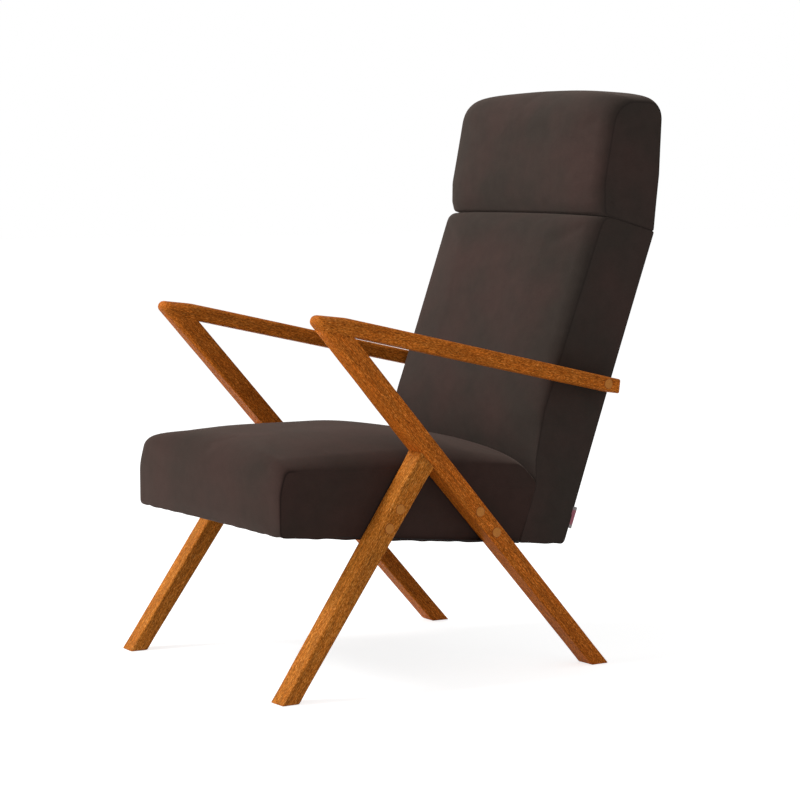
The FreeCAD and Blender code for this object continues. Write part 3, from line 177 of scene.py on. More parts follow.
class BackSizes(bpy.types.PropertyGroup):
    """Outline of the back's side panel, and its crown."""

    foot_depth: length("Foot depth", "Lower end, front to rear", 102.1)
    foot_drop: length("Foot drop", "Fall of the underside to the rear", 9.8)
    height: length("Height", "Rear, up to the seam under the headrest", 573.0)
    lean: length("Lean", "How far the rear leans back", 207.4)
    top_depth: length("Top depth", "Seam under the headrest, front to rear", 116.6)
    top_rise: length("Top rise", "Seam's front end over its rear end", 32.8)
    lumbar_start: length("Lumbar start", "From the crease to the lean's start", 27.0)
    lumbar_length: length("Lumbar length", "First stretch over that", 89.4)
    lumbar_step: length("Lumbar step", "How far that stretch leans back", 19.8)
    lumbar_rise: length("Lumbar rise", "Lean's start higher in the middle", 20.0)
    lumbar_bulge: length("Lumbar bulge", "Bulge over the seat", 24.0)
    bulge: length("Bulge", "Bulge under the headrest", 44.0)
    seam_rise: length("Seam rise", "Front edge higher in the middle", 6.0)
    lumbar_radius: length("Lumbar radius", "Easing of the front over the seat", 90.0)
    shoulder_radius: length("Shoulder radius", "Rounding under the headrest", 23.0)
    bottom_radius: length("Bottom radius", "Rounding of the lower rear edge", 12.0)


class HeadrestSizes(bpy.types.PropertyGroup):
    """Outline of the headrest's side panel, and its crown."""

    overhang: length("Overhang", "Front before the seam's front end", 0.3)
    lip_rise: length("Lip rise", "From the seam up to the lip", 19.1)
    cheek_rise: length("Cheek rise", "From the lip to where the front leans", 38.0)
    lean: length("Lean", "How far the front leans back", 30.5)
    height: length("Height", "From the seam up to the side panel's top", 213.0)
    top_fall: length("Top fall", "Fall of the top to the rear", 2.5)
    rear_overhang: length("Rear overhang", "Upper rear corner behind the seam", 17.1)
    nape_overhang: length("Nape overhang", "Bend of the rear behind the seam", 12.6)
    nape_rise: length("Nape rise", "Height of that bend", 106.9)
    bulge: length("Bulge", "Bulge of the front", 34.0)
    seam_bulge: length("Seam bulge", "Bulge of the seam under the lip", 25.5)
    crown: length("Crown", "Rise of the top in the middle", 17.4)
    crown_power: number("Crown power", "More keeps the top level further out", 6.0)
    rear_crown: number("Rear crown", "Part of the crown at the rear edge", 0.95)
    roll: length("Roll", "Side edge of the top rolled down", 4.0)
    roll_share: number("Roll share", "Part of the half width that rolls down", 0.07)
    seam_rise: length("Seam rise", "Seam higher in the middle", 2.0)
    seam_radius: length("Seam radius", "Rounding into the seam", 10.0)
    nape_radius: length("Nape radius", "Easing of the rear", 60.0)
    lip_radius: length("Lip radius", "Rounding of the lip", 24.0)
    cheek_radius: length("Cheek radius", "Easing of the front", 60.0)
    front_radius: length("Front radius", "Rounding of the upper front edge", 48.0)
    rear_radius: length("Rear radius", "Rounding of the upper rear edge", 30.0)


class FinishColours(bpy.types.PropertyGroup):
    """Colours of the visible finishes, linear."""

    wood: colour("Wood", "Stained wood between its flecks", (0.50, 0.146, 0.0138))
    # Dark wood also colours the painted shade round the plugs' rims
    wood_dark: colour("Dark wood", "Dark flecks and lines", (0.25, 0.055, 0.0043))
    wood_light: colour("Light wood", "Light flecks", (0.80, 0.325, 0.064))
    plug: colour("Plug", "Wooden plugs", (0.62, 0.225, 0.036))
    cloth: colour("Cloth", "Upholstery fabric", (0.0385, 0.0305, 0.0260))
    cloth_warm: colour("Warm cloth", "Warmer patches of the fabric", (0.054, 0.0335, 0.0292))
    seam: colour("Seam", "Shade in the seams of the fabric", (0.008, 0.006, 0.006))
    sheen: colour("Sheen", "Glow of the fabric's nap at a low angle", (0.60, 0.47, 0.40))
    ribbon: colour("Ribbon", "Ribbon of the side tab", (0.36, 0.33, 0.32))
    ribbon_band: colour("Ribbon band", "Band woven into it", (0.42, 0.13, 0.17))
    floor: colour("Floor", "Studio floor", (0.75, 0.75, 0.75))


class StageSettings(bpy.types.PropertyGroup):
    """Camera and light."""

    camera_x: length("Camera x", "Camera place, on the sitter's left", 4013.5)
    camera_y: length("Camera y", "Camera place, before the chair", -2481.5)
    camera_z: length("Camera z", "Camera height", 899.7)
    yaw: angle("Yaw", "Camera turn", 58.24)
    pitch: angle("Pitch", "Camera tilt below level", 5.06)
    focal_length: number("Focal length", "Millimetres on a 36 mm sensor", 113.28)
    key_power: number("Key light", "Watts of the large soft light before the chair", 172.0)
    front_power: number("Front light", "Watts of the soft light low before the chair", 52.0)
    fill_power: number("Fill light", "Watts of the soft light beside the chair", 17.0)
    floor_glow: number("Floor glow", "How bright the floor shows by itself", 0.75)
    sky: number("Sky", "Even light from all round", 0.36)


# Outlines and rings

# Cells of each rounding of an outline
ARC_STEPS = 5


def smooth(value):
    value = min(1.0, max(0.0, value))
    return value * value * (3 - 2 * value)


def between(stops, at):
    """A value from (place, value) stops, eased from stop to stop."""
    if at <= stops[0][0]:
        return stops[0][1]
    for (a, low), (b, high) in zip(stops, stops[1:]):
        if at <= b:
            return low + (high - low) * smooth((at - a) / (b - a))
    return stops[-1][1]


def corner_arc(before, here, after, radius, steps):
    """Points of a rounding at a corner of a flat outline."""
    to_before = (before - here).normalized()
    to_after = (after - here).normalized()
    half = to_before.angle(to_after) / 2
    back = radius / math.tan(half)
    start = here + to_before * back
    stop = here + to_after * back
    centre = here + (to_before + to_after).normalized() * (radius / math.sin(half))
    first, last = (start - centre).normalized(), (stop - centre).normalized()
    return [centre + first.slerp(last, i / steps) * radius for i in range(steps + 1)]


def rounded_ring(corners, counts, smallest):
    """Points round a closed outline of (y, z, radius) corners, and on which edge each lies.

    Edge n runs from corner n to the next one; a rounding counts as n - 0.5.
    """
    places = [Vector((y, z)) for y, z, _ in corners]
    count = len(corners)
    arcs = []
    for i, (_, _, radius) in enumerate(corners):
        arcs.append(corner_arc(places[i - 1], places[i], places[(i + 1) % count],
                               max(radius, smallest), ARC_STEPS))
    points, edges = [], []
    for i, arc in enumerate(arcs):
        run = inner_points(arc[-1], arcs[(i + 1) % count][0], counts[i])
        points += arc + run
        edges += [i - 0.5] * len(arc) + [float(i)] * len(run)
    return points, edges


def inner_points(start, stop, cells):
    """The points that part a straight stretch into cells, without its ends."""
    return [start.lerp(stop, i / cells) for i in range(1, cells)]


def edge_counts(corners, spacing):
    """How many cells each straight edge of an outline gets."""
    places = [Vector((y, z)) for y, z, _ in corners]
    count = len(places)
    return [max(2, round((places[(i + 1) % count] - places[i]).length / spacing))
            for i in range(count)]


def swept(name, rings):
    """A closed mesh object through rings that all have as many points."""
    bm = bmesh.new()
    place = bm.verts.layers.int.new("place")
    ring_number = bm.verts.layers.int.new("ring")
    made = bmesh.ops.create_circle(bm, cap_ends=True, segments=len(rings[0]), radius=1.0)
    for i, vert in enumerate(made["verts"]):
        vert[place] = i
        vert.co = rings[0][i]
    bm.faces.ensure_lookup_table()
    cap = bm.faces[0]
    for number, ring in enumerate(rings[1:], 1):
        inside = cap
        for item in bmesh.ops.extrude_face_region(bm, geom=[cap])["geom"]:
            if isinstance(item, bmesh.types.BMVert):
                item.co = ring[item[place]]
                item[ring_number] = number
            elif isinstance(item, bmesh.types.BMFace):
                cap = item
        if number > 1:
            bmesh.ops.delete(bm, geom=[inside], context="FACES_ONLY")
    ends = [face for face in bm.faces if len(face.verts) > 4]
    bmesh.ops.triangulate(bm, faces=ends, quad_method="BEAUTY", ngon_method="BEAUTY")
    bmesh.ops.recalc_face_normals(bm, faces=bm.faces)
    sort_by_points(bm)
    piece = as_object(name, bm)
    for edge in piece.data.edges:
        edge.vertices = sorted(edge.vertices)
    return piece


def sort_by_points(bm):
    """Orders edges and faces by their points.

    Extruding leaves them in another order each run, and a simulation's last digits follow it.
    """
    bm.verts.index_update()
    count = len(bm.verts)

    def rank(item):
        lowest = sorted(vert.index for vert in item.verts)[:3]
        return sum(index * count ** power for power, index in enumerate(reversed(lowest)))

    bm.edges.sort(key=rank)
    bm.faces.sort(key=rank)


def as_object(name, bm):
    """Turns a bmesh into a smooth object of the scene."""
    for face in bm.faces:
        face.smooth = True
    mesh = bpy.data.meshes.new(name)
    bm.to_mesh(mesh)
    bm.free()
    piece = bpy.data.objects.new(name, mesh)
    bpy.context.scene.collection.objects.link(piece)
    return piece


def finish(piece, look, slot, *nodes):
    """Gives a piece its material and its body, and hides the CAD nodes that it stands for."""
    piece.data.materials.append(look)
    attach(piece, BODY)
    if nodes:
        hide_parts(*nodes)


# Materials

def material(name, paint, *values, **options):
    """The finish of that name; paint lays its nodes when it is made."""
    made = bpy.data.materials.get(name)
    if made is None:
        made = bpy.data.materials.new(name)
        made.use_nodes = True
        tree = made.node_tree
        surface = next(node for node in tree.nodes if node.type == "BSDF_PRINCIPLED")
        paint(tree, surface, *values, **options)
    return made


def feed(tree, value, socket):
    """Links a node's output to a socket, or sets the socket to a number or colour."""
    if isinstance(value, bpy.types.NodeSocket):
        tree.links.new(value, socket)
    elif isinstance(value, (int, float)):
        socket.default_value = value
    else:
        socket.default_value = (*value, 1.0)


def dress(tree, node, values):
    """Feeds a node's sockets, named or numbered."""
    for socket, value in values.items():
        feed(tree, value, node.inputs[socket])


def add(tree, kind, values, **settings):
    """A new node with its settings and what its sockets are fed."""
    node = tree.nodes.new("ShaderNode" + kind)
    for name, value in settings.items():
        setattr(node, name, value)
    dress(tree, node, values)
    return node


def object_coordinates(tree):
    return tree.nodes.new("ShaderNodeTexCoord").outputs["Object"]


def grain_coordinates(tree, turn, feature):
    """Object coordinates in a turned frame, in units of a feature's size."""
    mapping = add(tree, "Mapping", {"Vector": object_coordinates(tree)}, vector_type="TEXTURE")
    mapping.inputs["Rotation"].default_value = turn
    mapping.inputs["Scale"].default_value = feature
    return mapping.outputs["Vector"]


def marked(tree, name):
    """A piece's own attribute, 0 to 1."""
    return add(tree, "Attribute", {}, attribute_name=name).outputs["Fac"]


def noise(tree, vector, scale, detail, roughness, distortion=0.0):
    values = {"Vector": vector, "Scale": scale, "Detail": detail, "Roughness": roughness,
              "Distortion": distortion}
    return add(tree, "TexNoise", values).outputs["Fac"]


def ramp(tree, value, *stops):
    """A colour ramp; stops are (place, colour)."""
    node = add(tree, "ValToRGB", {"Fac": value})
    elements = node.color_ramp.elements
    while len(elements) < len(stops):
        elements.new(0.5)
    for element, (at, shade) in zip(elements, stops):
        element.position = at
        element.color = (*shade, 1.0)
    return node.outputs["Color"]


def grey(level):
    return (level, level, level)


def mix(tree, factor, first, second, blend="MIX"):
    """A mix of two colours; their sockets are numbers 6 and 7."""
    values = {0: factor, 6: first, 7: second}
    return add(tree, "Mix", values, data_type="RGBA", blend_type=blend).outputs[2]


def layered(tree, base, *layers):
    """A colour multiplied by one layer after the other."""
    for layer in layers:
        base = mix(tree, 1.0, base, layer, "MULTIPLY")
    return base


def scaled(tree, value, low, high):
    """A value stretched from 0..1 to low..high."""
    values = {"Value": value, "To Min": low, "To Max": high}
    return add(tree, "MapRange", values).outputs["Result"]


def bump(tree, height, strength, distance):
    values = {"Height": height, "Strength": strength, "Distance": distance}
    return add(tree, "Bump", values).outputs["Normal"]


def grain_turn(run, rise):
    """The turn that lays a material's first axis along a side-view direction."""
    along = Vector((0.0, run, rise)).normalized()
    return Vector((1.0, 0.0, 0.0)).rotation_difference(along).to_euler()


def paint_wood(tree, surface, turn, colour_and_light_tint, colours):
    """Stained open-pored hardwood: flecks along the grain, slow tone changes, satin."""

    def grain(run, width, detail, roughness=0.5, distortion=0.0):
        at = grain_coordinates(tree, turn, (run * MM, width * MM, width * MM))
        return noise(tree, at, 1.0, detail, roughness, distortion)

    flecks = grain(6.5, 1.4, 3.0, 0.65)
    pores = grain(11.0, 1.0, 2.0)
    bands = grain(130.0, 8.0, 3.0, 0.55, 0.4)
    patches = grain(50.0, 20.0, 2.0)
    streaks = grain(34.0, 1.1, 2.0)
    specks = grain(4.4, 1.2, 1.0)
    stain = ramp(tree, flecks, (0.28, colours.wood_dark), (0.46, colours.wood),
                 (0.54, colours.wood), (0.74, colours.wood_light))
    tone = ramp(tree, bands, (0.32, grey(0.80)), (0.50, grey(1.0)), (0.68, (1.16, 1.12, 1.05)))
    warmth = ramp(tree, patches, (0.35, (1.0, 0.93, 0.86)), (0.65, grey(1.05)))
    dark_pores = ramp(tree, pores, (0.33, grey(0.50)), (0.44, grey(1.0)))
    lines = ramp(tree, streaks, (0.36, grey(0.78)), (0.5, grey(1.0)), (0.64, (1.22, 1.18, 1.12)))
    dots = ramp(tree, specks, (0.34, (0.62, 0.58, 0.42)), (0.5, grey(1.0)),
                (0.66, (1.36, 1.44, 1.9)))
    dress(tree, surface, {
        # The tint scales this timber's copy of the stain; on the front leg it is painted highlight
        "Base Color": layered(tree, stain, colour_and_light_tint, tone, warmth, dark_pores, lines, dots),
        "Roughness": scaled(tree, flecks, 0.62, 0.46),
        "Specular IOR Level": 0.05,
        "Normal": bump(tree, pores, 0.35, 0.4 * MM),
    })


def paint_plug(tree, surface, colours):
    """Smooth end-grain plug whose rim is darkened with painted shade, standing in for the gap round
    it.
    """
    grain = noise(tree, object_coordinates(tree), 420.0, 3.0, 0.55)
    wood = ramp(tree, grain, (0.3, [c * 0.86 for c in colours.plug]),
                (0.7, [c * 1.12 for c in colours.plug]))
    # Painted shade round the rim, where the gap to the hole would fall dark
    painted_gap_shade = scaled(tree, marked(tree, "shaded_rim"), 0.0, 0.9)
    dress(tree, surface, {
        "Base Color": mix(tree, painted_gap_shade, wood, colours.wood_dark),
        "Roughness": scaled(tree, grain, 0.34, 0.44),
        "Specular IOR Level": 0.16,
        "Normal": bump(tree, grain, 0.1, 0.3 * MM),
    })


def paint_ribbon(tree, surface, colours):
    """Ribbed grey ribbon with a plain rose band woven in."""
    values = {"Vector": object_coordinates(tree), "Scale": 420.0}
    ribs = add(tree, "TexWave", values, bands_direction="Z").outputs["Fac"]
    yarn = mix(tree, marked(tree, "band"), colours.ribbon, colours.ribbon_band)
    dress(tree, surface, {
        "Base Color": layered(tree, yarn, ramp(tree, ribs, (0.0, grey(0.82)), (1.0, grey(1.05)))),
        "Roughness": 0.75,
        "Normal": bump(tree, ribs, 0.3, 0.2 * MM),
    })


def paint_cloth(tree, surface, colours, warmth, colour_and_light_tint):
    """Smooth brushed microfibre with a fine nap and slow warmer patches; painted shade darkens its
    sewn seams.
    """
    source = object_coordinates(tree)
    patches = noise(tree, source, 7.0, 3.0, 0.55)
    mottle = noise(tree, source, 46.0, 4.0, 0.6)
    nap = noise(tree, source, 900.0, 2.0, 0.6)
    # The tint that multiplies the dye is painted light or shade for this copy of the fabric
    dye = ramp(tree, patches, (0.60 - warmth, colours.cloth), (0.92 - warmth, colours.cloth_warm))
    tone = ramp(tree, mottle, (0.3, grey(0.93)), (0.7, grey(1.07)))
    fibre = ramp(tree, nap, (0.25, grey(0.86)), (0.75, grey(1.14)))
    # Painted shade in the seams, on top of the shading of their sunken groove
    seam = scaled(tree, marked(tree, "seam"), 0.0, 0.75)
    dress(tree, surface, {
        "Base Color": mix(tree, seam, layered(tree, dye, tone, colour_and_light_tint, fibre), colours.seam),
        "Roughness": 0.86,
        "Specular IOR Level": 0.05,
        "Sheen Weight": 0.20,
        "Sheen Roughness": 0.5,
        "Sheen Tint": colours.sheen,
        "Normal": bump(tree, nap, 0.16, 0.33 * MM),
    })


def paint_plain(tree, surface, shade, roughness, metallic=0.0, grain=120.0, contrast=0.12):
    """A finish with fine mottling, for the parts inside and under the chair, and the floor."""
    mottle = noise(tree, object_coordinates(tree), grain, 4.0, 0.6)
    low = [c * (1 - contrast) for c in shade]
    high = [min(1.0, c * (1 + contrast)) for c in shade]
    dress(tree, surface, {
        "Base Color": ramp(tree, mottle, (0.3, low), (0.7, high)),
        "Roughness": scaled(tree, mottle, roughness * 0.85, min(1.0, roughness * 1.15)),
        "Metallic": metallic,
        "Normal": bump(tree, mottle, 0.15, 0.5 * MM),
    })


# Timbers

# Cells of a rounded long edge and of a rounded end
EDGE_STEPS = 7
END_STEPS = 4
# Sections along the long leg, and along a front leg or an armrest
LONG_LEG_RINGS = 64
SHORT_TIMBER_RINGS = 52
# Cells of the knuckle's rounding, of the bend before it, and of the straight stretches there
KNUCKLE_STEPS = 16
BEND_STEPS = 4
FLAT_CELLS = 4
NOSE_CELLS = 3
# Least rounding of a long edge, and the most as a share of the section
LEAST_EDGE = 0.15 * MM
MOST_EDGE = 0.49
# Narrow cell of a flat beside an edge, and the most of it as a share of the flat
MARGIN = 0.7 * MM
MARGIN_SHARE = 0.2
# Where a leg's edges begin to sharpen towards the foot, as a share of its length
FOOT_START = 0.93
# Last full section of the long leg over its foot, and first one of the armrest
FOOT_CLEARANCE = 3 * MM
KNUCKLE_CLEARANCE = 4 * MM
# The long leg's upper edges are softer near the nose
NOSE_SOFTNESS = 1.5


class Frame:
    """Places on a side frame: side view (y, z) and depth from its outer face."""

    def __init__(self, sizes):
        s = sizes
        self.sizes = s
        self.rear_foot = Vector((s.rear_foot_y, s.floor_gap))
        self.rear_foot_heel = self.rear_foot + Vector((s.rear_foot_length, 0.0))
        self.nose = Vector((s.nose_y, s.nose_z))
        self.crook = self.nose + Vector((s.crook_run, -s.crook_drop))
        self.front_foot = Vector((s.front_foot_y, s.floor_gap))
        self.front_foot_heel = self.front_foot + Vector((s.front_foot_length, 0.0))
        self.arm_end = Vector((s.arm_end_y, self.crook.y - s.arm_fall))
        self.arm_over = self.crook + Vector((0.0, s.arm_height))
        self.arm_over_end = self.arm_end + Vector((s.arm_end_lean, s.arm_end_height))
        self.joint_top = self.on_front_line(s.joint_top_z)
        self.joint_bottom = self.on_front_line(s.joint_top_z - s.joint_length)
        self.tip = crossing(self.rear_foot, self.nose, self.arm_over_end, self.arm_over)

    def on_front_line(self, z):
        share = (z - self.rear_foot.y) / (self.nose.y - self.rear_foot.y)
        return self.rear_foot.lerp(self.nose, share)

    def place(self, side, depth, y, z):
        cos, sin = math.cos(self.sizes.toe_angle), math.sin(self.sizes.toe_angle)
        return Vector((side * (self.sizes.half_width - depth * cos - y * sin),
                       y * cos - depth * sin, z))


def crossing(a, b, c, d):
    """Where the line a-b meets the line c-d."""
    along, other = b - a, d - c
    share = (c - a).cross(other) / along.cross(other)
    return a + along * share


def timber_ring(shape, side, front, rear, run_front, run_rear, edges, inset=0.0):
    """A section from a front to a rear point. edges: outer and inner radius, front then rear."""
    line = (rear - front).normalized()
    reach = (rear - front).length
    lean = (abs(line.cross(run_front.normalized())), abs(line.cross(run_rear.normalized())))
    low, high = inset, shape.sizes.thickness - inset
    start, stop = inset / lean[0], reach - inset / lean[1]
    limit = (high - low) * MOST_EDGE
    span = (stop - start) * MOST_EDGE
    corners = ((low, start, edges[0], lean[0], 1, 1), (low, stop, edges[2], lean[1], 1, -1),
               (high, stop, edges[3], lean[1], -1, -1), (high, start, edges[1], lean[0], -1, 1))
    arcs = []
    for number, (depth, along, radius, slant, inward, onward) in enumerate(corners):
        across = min(max(radius - inset, LEAST_EDGE), limit)
        lengthways = min(across / slant, span)
        centre = (depth + inward * across, along + onward * lengthways)
        arc = []
        for i in range(EDGE_STEPS + 1):
            turn = math.pi / 2 * i / EDGE_STEPS
            if number % 2 == 0:
                turn = math.pi / 2 - turn
            arc.append(Vector((centre[0] - inward * across * math.cos(turn),
                               centre[1] - onward * lengthways * math.sin(turn))))
        arcs.append(arc)
    points = []
    for number, arc in enumerate(arcs):
        start_flat, stop_flat = arc[-1], arcs[(number + 1) % 4][0]
        flat = (stop_flat - start_flat).length
        margin = min(MARGIN, flat * MARGIN_SHARE) / flat
        points += arc + [start_flat.lerp(stop_flat, share) for share in (margin, 0.5, 1 - margin)]
    placed = []
    for depth, along in points:
        spot = front + line * along
        placed.append(shape.place(side, depth, spot.x, spot.y))
    return placed


def sections(shape, side, front, rear, shares, edges_at):
    """Timber sections at shares of the way along a front and a rear line."""
    run_front, run_rear = front[1] - front[0], rear[1] - rear[0]
    return [timber_ring(shape, side, front[0].lerp(front[1], share), rear[0].lerp(rear[1], share),
                        run_front, run_rear, edges_at(share)) for share in shares]


def end_rounding(radius):
    """Pairs of a distance from a timber's end and an inset, which round its end's edges."""
    turns = [math.pi / 2 * i / END_STEPS for i in range(END_STEPS + 1)]
    return [(radius * (1 - math.sin(turn)), radius * (1 - math.cos(turn))) for turn in turns]


def foot_rings(shape, side, front, rear, edges):
    """The rounded lower end of a leg; front and rear are its lines from the top to the floor."""
    lines = [(line[1], line[1] - line[0]) for line in (front, rear)]
    rings = []
    for up, inset in end_rounding(shape.sizes.foot_edge):
        lifted = [foot + run.normalized() * (-up / abs(run.normalized().y)) for foot, run in lines]
        rings.append(timber_ring(shape, side, *lifted, *[run for _, run in lines], edges, inset))
    return rings


def long_leg_rings(shape, side):
    """Sections from the nose to the rear foot. Stops are (share of the leg, edge radius)."""
    s = shape.sizes
    front, rear = (shape.nose, shape.rear_foot), (shape.crook, shape.rear_foot_heel)
    drop = shape.nose.y - shape.rear_foot.y
    joint_start = (shape.nose.y - shape.joint_top.y) / drop
    joint_end = (shape.nose.y - shape.joint_bottom.y) / drop
    foot = ((FOOT_START, s.plain_edge), (1.0, s.foot_edge))
    front_edge = ((0.0, s.leg_edge * NOSE_SOFTNESS), (0.12, s.leg_edge),
                  (joint_start - 0.10, s.plain_edge), (joint_start - 0.02, s.joint_edge),
                  (joint_end + 0.005, s.joint_edge), (joint_end + 0.06, s.plain_edge), *foot)
    rear_edge = ((0.0, s.plain_edge), *foot)

    def edges_at(share):
        return (between(front_edge, share),) * 2 + (between(rear_edge, share),) * 2

    shares = [i / LONG_LEG_RINGS for i in range(LONG_LEG_RINGS)]
    shares += [joint_start, joint_end, 1.0 - FOOT_CLEARANCE / drop]
    return (sections(shape, side, front, rear, sorted(set(shares)), edges_at)
            + foot_rings(shape, side, front, rear, edges_at(1.0)))


def front_leg_rings(shape, side):
    """Sections from the joint with the long leg down to the front foot."""
    s = shape.sizes
    front = (shape.joint_top, shape.front_foot)
    rear = (shape.joint_bottom, shape.front_foot_heel)
    stops = ((0.0, s.joint_edge), (0.05, s.plain_edge), (FOOT_START, s.plain_edge),
             (1.0, s.foot_edge))

    def edges_at(share):
        return (between(stops, share),) * 4

    shares = [i / SHORT_TIMBER_RINGS for i in range(SHORT_TIMBER_RINGS)]
    return (sections(shape, side, front, rear, shares, edges_at)
            + foot_rings(shape, side, front, rear, edges_at(shares[-1])))


def armrest_rings(shape, side):
    """Sections from the rear end of the armrest to the knuckle."""
    s = shape.sizes
    over, under = (shape.arm_over, shape.arm_over_end), (shape.crook, shape.arm_end)
    run_over, run_under = over[1] - over[0], under[1] - under[0]
    end_edge = s.arm_edge * 0.5
    rings = []
    for inset, back in end_rounding(s.end_edge):
        rings.append(timber_ring(shape, side, over[1] - run_over.normalized() * back,
                                 under[1] - run_under.normalized() * back, run_over, run_under,
                                 (end_edge, end_edge, s.plain_edge, s.plain_edge), inset))
    stops = ((0.0, s.knuckle_edge * 0.8), (0.12, s.arm_edge), (0.94, s.arm_edge * 0.85),
             (1.0, end_edge))

    def edges_at(share):
        return (between(stops, share),) * 2 + (s.plain_edge,) * 2

    near = KNUCKLE_CLEARANCE / run_under.length
    last = 1 - 2 * s.end_edge / run_under.length
    shares = [last - (last - near) * i / SHORT_TIMBER_RINGS for i in range(SHORT_TIMBER_RINGS + 1)]
    return (rings + sections(shape, side, over, under, shares, edges_at)
            + knuckle_rings(shape, side, over[0].lerp(over[1], near), under[0].lerp(under[1], near)))


def knuckle_rings(shape, side, over, under):
    """Sections that fan round the inner corner, from the armrest to the long leg."""
    s = shape.sizes
    bend = over + (shape.tip - over).normalized() * s.bend_run
    level = bend + Vector((-math.cos(s.bend_slope), math.sin(s.bend_slope)))
    tip = crossing(bend, level, shape.nose, shape.tip)
    easing = corner_arc(over, bend, tip, s.bend_radius, BEND_STEPS)
    arc = corner_arc(bend, tip, shape.nose, s.knuckle_radius, KNUCKLE_STEPS)
    outline = (easing + inner_points(easing[-1], arc[0], FLAT_CELLS) + arc
               + inner_points(arc[-1], shape.nose, NOSE_CELLS) + [shape.nose])
    past = shape.nose + (shape.nose - arc[-1])
    stops = ((0.0, s.knuckle_edge * 0.8), (0.3, s.knuckle_edge), (0.6, s.knuckle_edge),
             (1.0, s.leg_edge * NOSE_SOFTNESS))
    rings = []
    for i, (before, point, after) in enumerate(zip([over] + outline, outline, outline[1:] + [past])):
        share = (i + 1) / len(outline)
        edge = between(stops, share)
        inner = under.lerp(shape.crook, share)
        square = Vector((-(point - inner).y, (point - inner).x))
        rings.append(timber_ring(shape, side, point, inner, after - before, square,
                                 (edge, edge, s.plain_edge, s.plain_edge)))
    return rings


# A plug's domed face from its middle to its rim: shares of its radius and of its height
PLUG_DOME = ((0.0, 1.0), (0.55, 0.97), (0.84, 0.86), (0.90, 0.7), (0.94, 0.35), (1.0, 0.05))
# Share of the radius outside which the plug is darkened with painted shade
SHADED_RIM_SHARE = 0.93
PLUG_CELLS = 48


def plug(name, shape, side, y, z):
    """A turned wooden plug, slightly domed, set in the outer face."""
    s = shape.sizes
    bm = bmesh.new()
    profile = [(s.plug_radius * out, s.plug_proud * up) for out, up in PLUG_DOME]
    profile += [(s.plug_radius, -s.plug_depth), (0.0, -s.plug_depth)]
    verts = [bmesh.ops.create_vert(bm, co=(r, 0.0, h))["vert"][0] for r, h in profile]
    edges = [bm.edges.new(pair) for pair in zip(verts, verts[1:])]
    bmesh.ops.spin(bm, geom=verts + edges, cent=(0, 0, 0), axis=(0, 0, 1),
                   angle=math.tau, steps=PLUG_CELLS, use_merge=True)
    bmesh.ops.remove_doubles(bm, verts=bm.verts, dist=1e-6)
    # The rim band, which the plug's material darkens with painted shade
    shaded_rim = bm.verts.layers.float.new("shaded_rim")
    for vert in bm.verts:
        vert[shaded_rim] = float(math.hypot(vert.co.x, vert.co.y) > s.plug_radius * SHADED_RIM_SHARE)
    face = shape.place(side, 0.0, y, z)
    outward = (face - shape.place(side, s.thickness, y, z)).normalized()
    turn = Vector((0, 0, 1)).rotation_difference(outward).to_matrix().to_4x4()
    bmesh.ops.transform(bm, verts=bm.verts, matrix=Matrix.Translation(face) @ turn)
    bmesh.ops.recalc_face_normals(bm, faces=bm.faces)
    return as_object(name, bm)


# Cushions

# Stations from the middle of a cushion to a side
STATIONS = 27
# Rows of a side panel, as shares of the way from its middle line to its outline
PANEL_SHARES = (0.74, 0.86)
# How far a side panel and its seam sink from the side, as shares of the seam's depth
PANEL_SINK = 0.4
SEAM_SINK = 0.7
# Gap between two cushions that meet
CUSHION_GAP = 0.3 * MM
# Middle lines of the side panels, as y and z in side view, in millimetres
SEAT_SPINE = ((-355, 338), (-150, 332), (75, 318))
BACK_SPINE = ((165, 285), (212, 430), (335, 765))
HEADREST_SPINE = ((355, 870), (372, 985))
# Edges of each outline, numbered as in rounded_ring, where the cushion rests on something
SEAT_HELD = (5.5, 6.0, 6.5, 7.0, 7.5, 8.0)
BACK_HELD = (-0.5, 0.0, 0.5, 1.0, 1.5, 4.0, 4.5, 5.5, 6.0)
HEADREST_HELD = (-0.5, 5.5, 6.0)
# Part of the width that the filling may blow up, in the seat, and in back and headrest
SEAT_FILLED = 0.87
BACK_FILLED = 0.93
# Depth of the back's and the headrest's side seams, as a share of a full seam
PLAIN_SEAM = 0.55
# The seat's side seams follow its front and fade out behind it; its lower edge has its own
SEAM_END = 24 * MM
SEAM_FADE = 16 * MM
SEAT_LOWER_SEAM = 0.5
# Pressure of the filling, how many frames it pushes, and how far it pushes a point sideways,
# as a share of the way to the side panel
PRESSURE = 4.0
FRAMES = 20
SIDE_ROOM = 0.5
# Unevenness of a tacked edge: its mean, how far it runs on along the sides, and its start
HEM_MEAN = 0.6
HEM_SLANT = 0.8
HEM_START = 1.3


def arch_at(share):
    """How far a crease has risen, 0 at the sides and 1 in the middle."""
    return max(0.0, 1 - share * share) ** 0.7


def bulge_at(share):
    """How far a front has bulged out: it rounds its side seams and is nearly flat between."""
    return math.sqrt(max(0.0, 1 - abs(share) ** 8))


def crown_at(share, power):
    """How far a top has risen; a higher power keeps it level further out."""
    return max(0.0, 1 - abs(share) ** power) ** 0.75


def roll_at(share, width):
    """How far a top's side edge has rolled down, 1 at the side seam and 0 further in."""
    into = max(0.0, (abs(share) - 1 + width) / width)
    return 1 - math.sqrt(max(0.0, 1 - into * into))


def station_shares(count):
    """Shares of the half width, closer together towards the side seams."""
    half = [math.sin(math.pi / 2 * i / count) for i in range(count + 1)]
    return [-v for v in reversed(half[1:])] + half


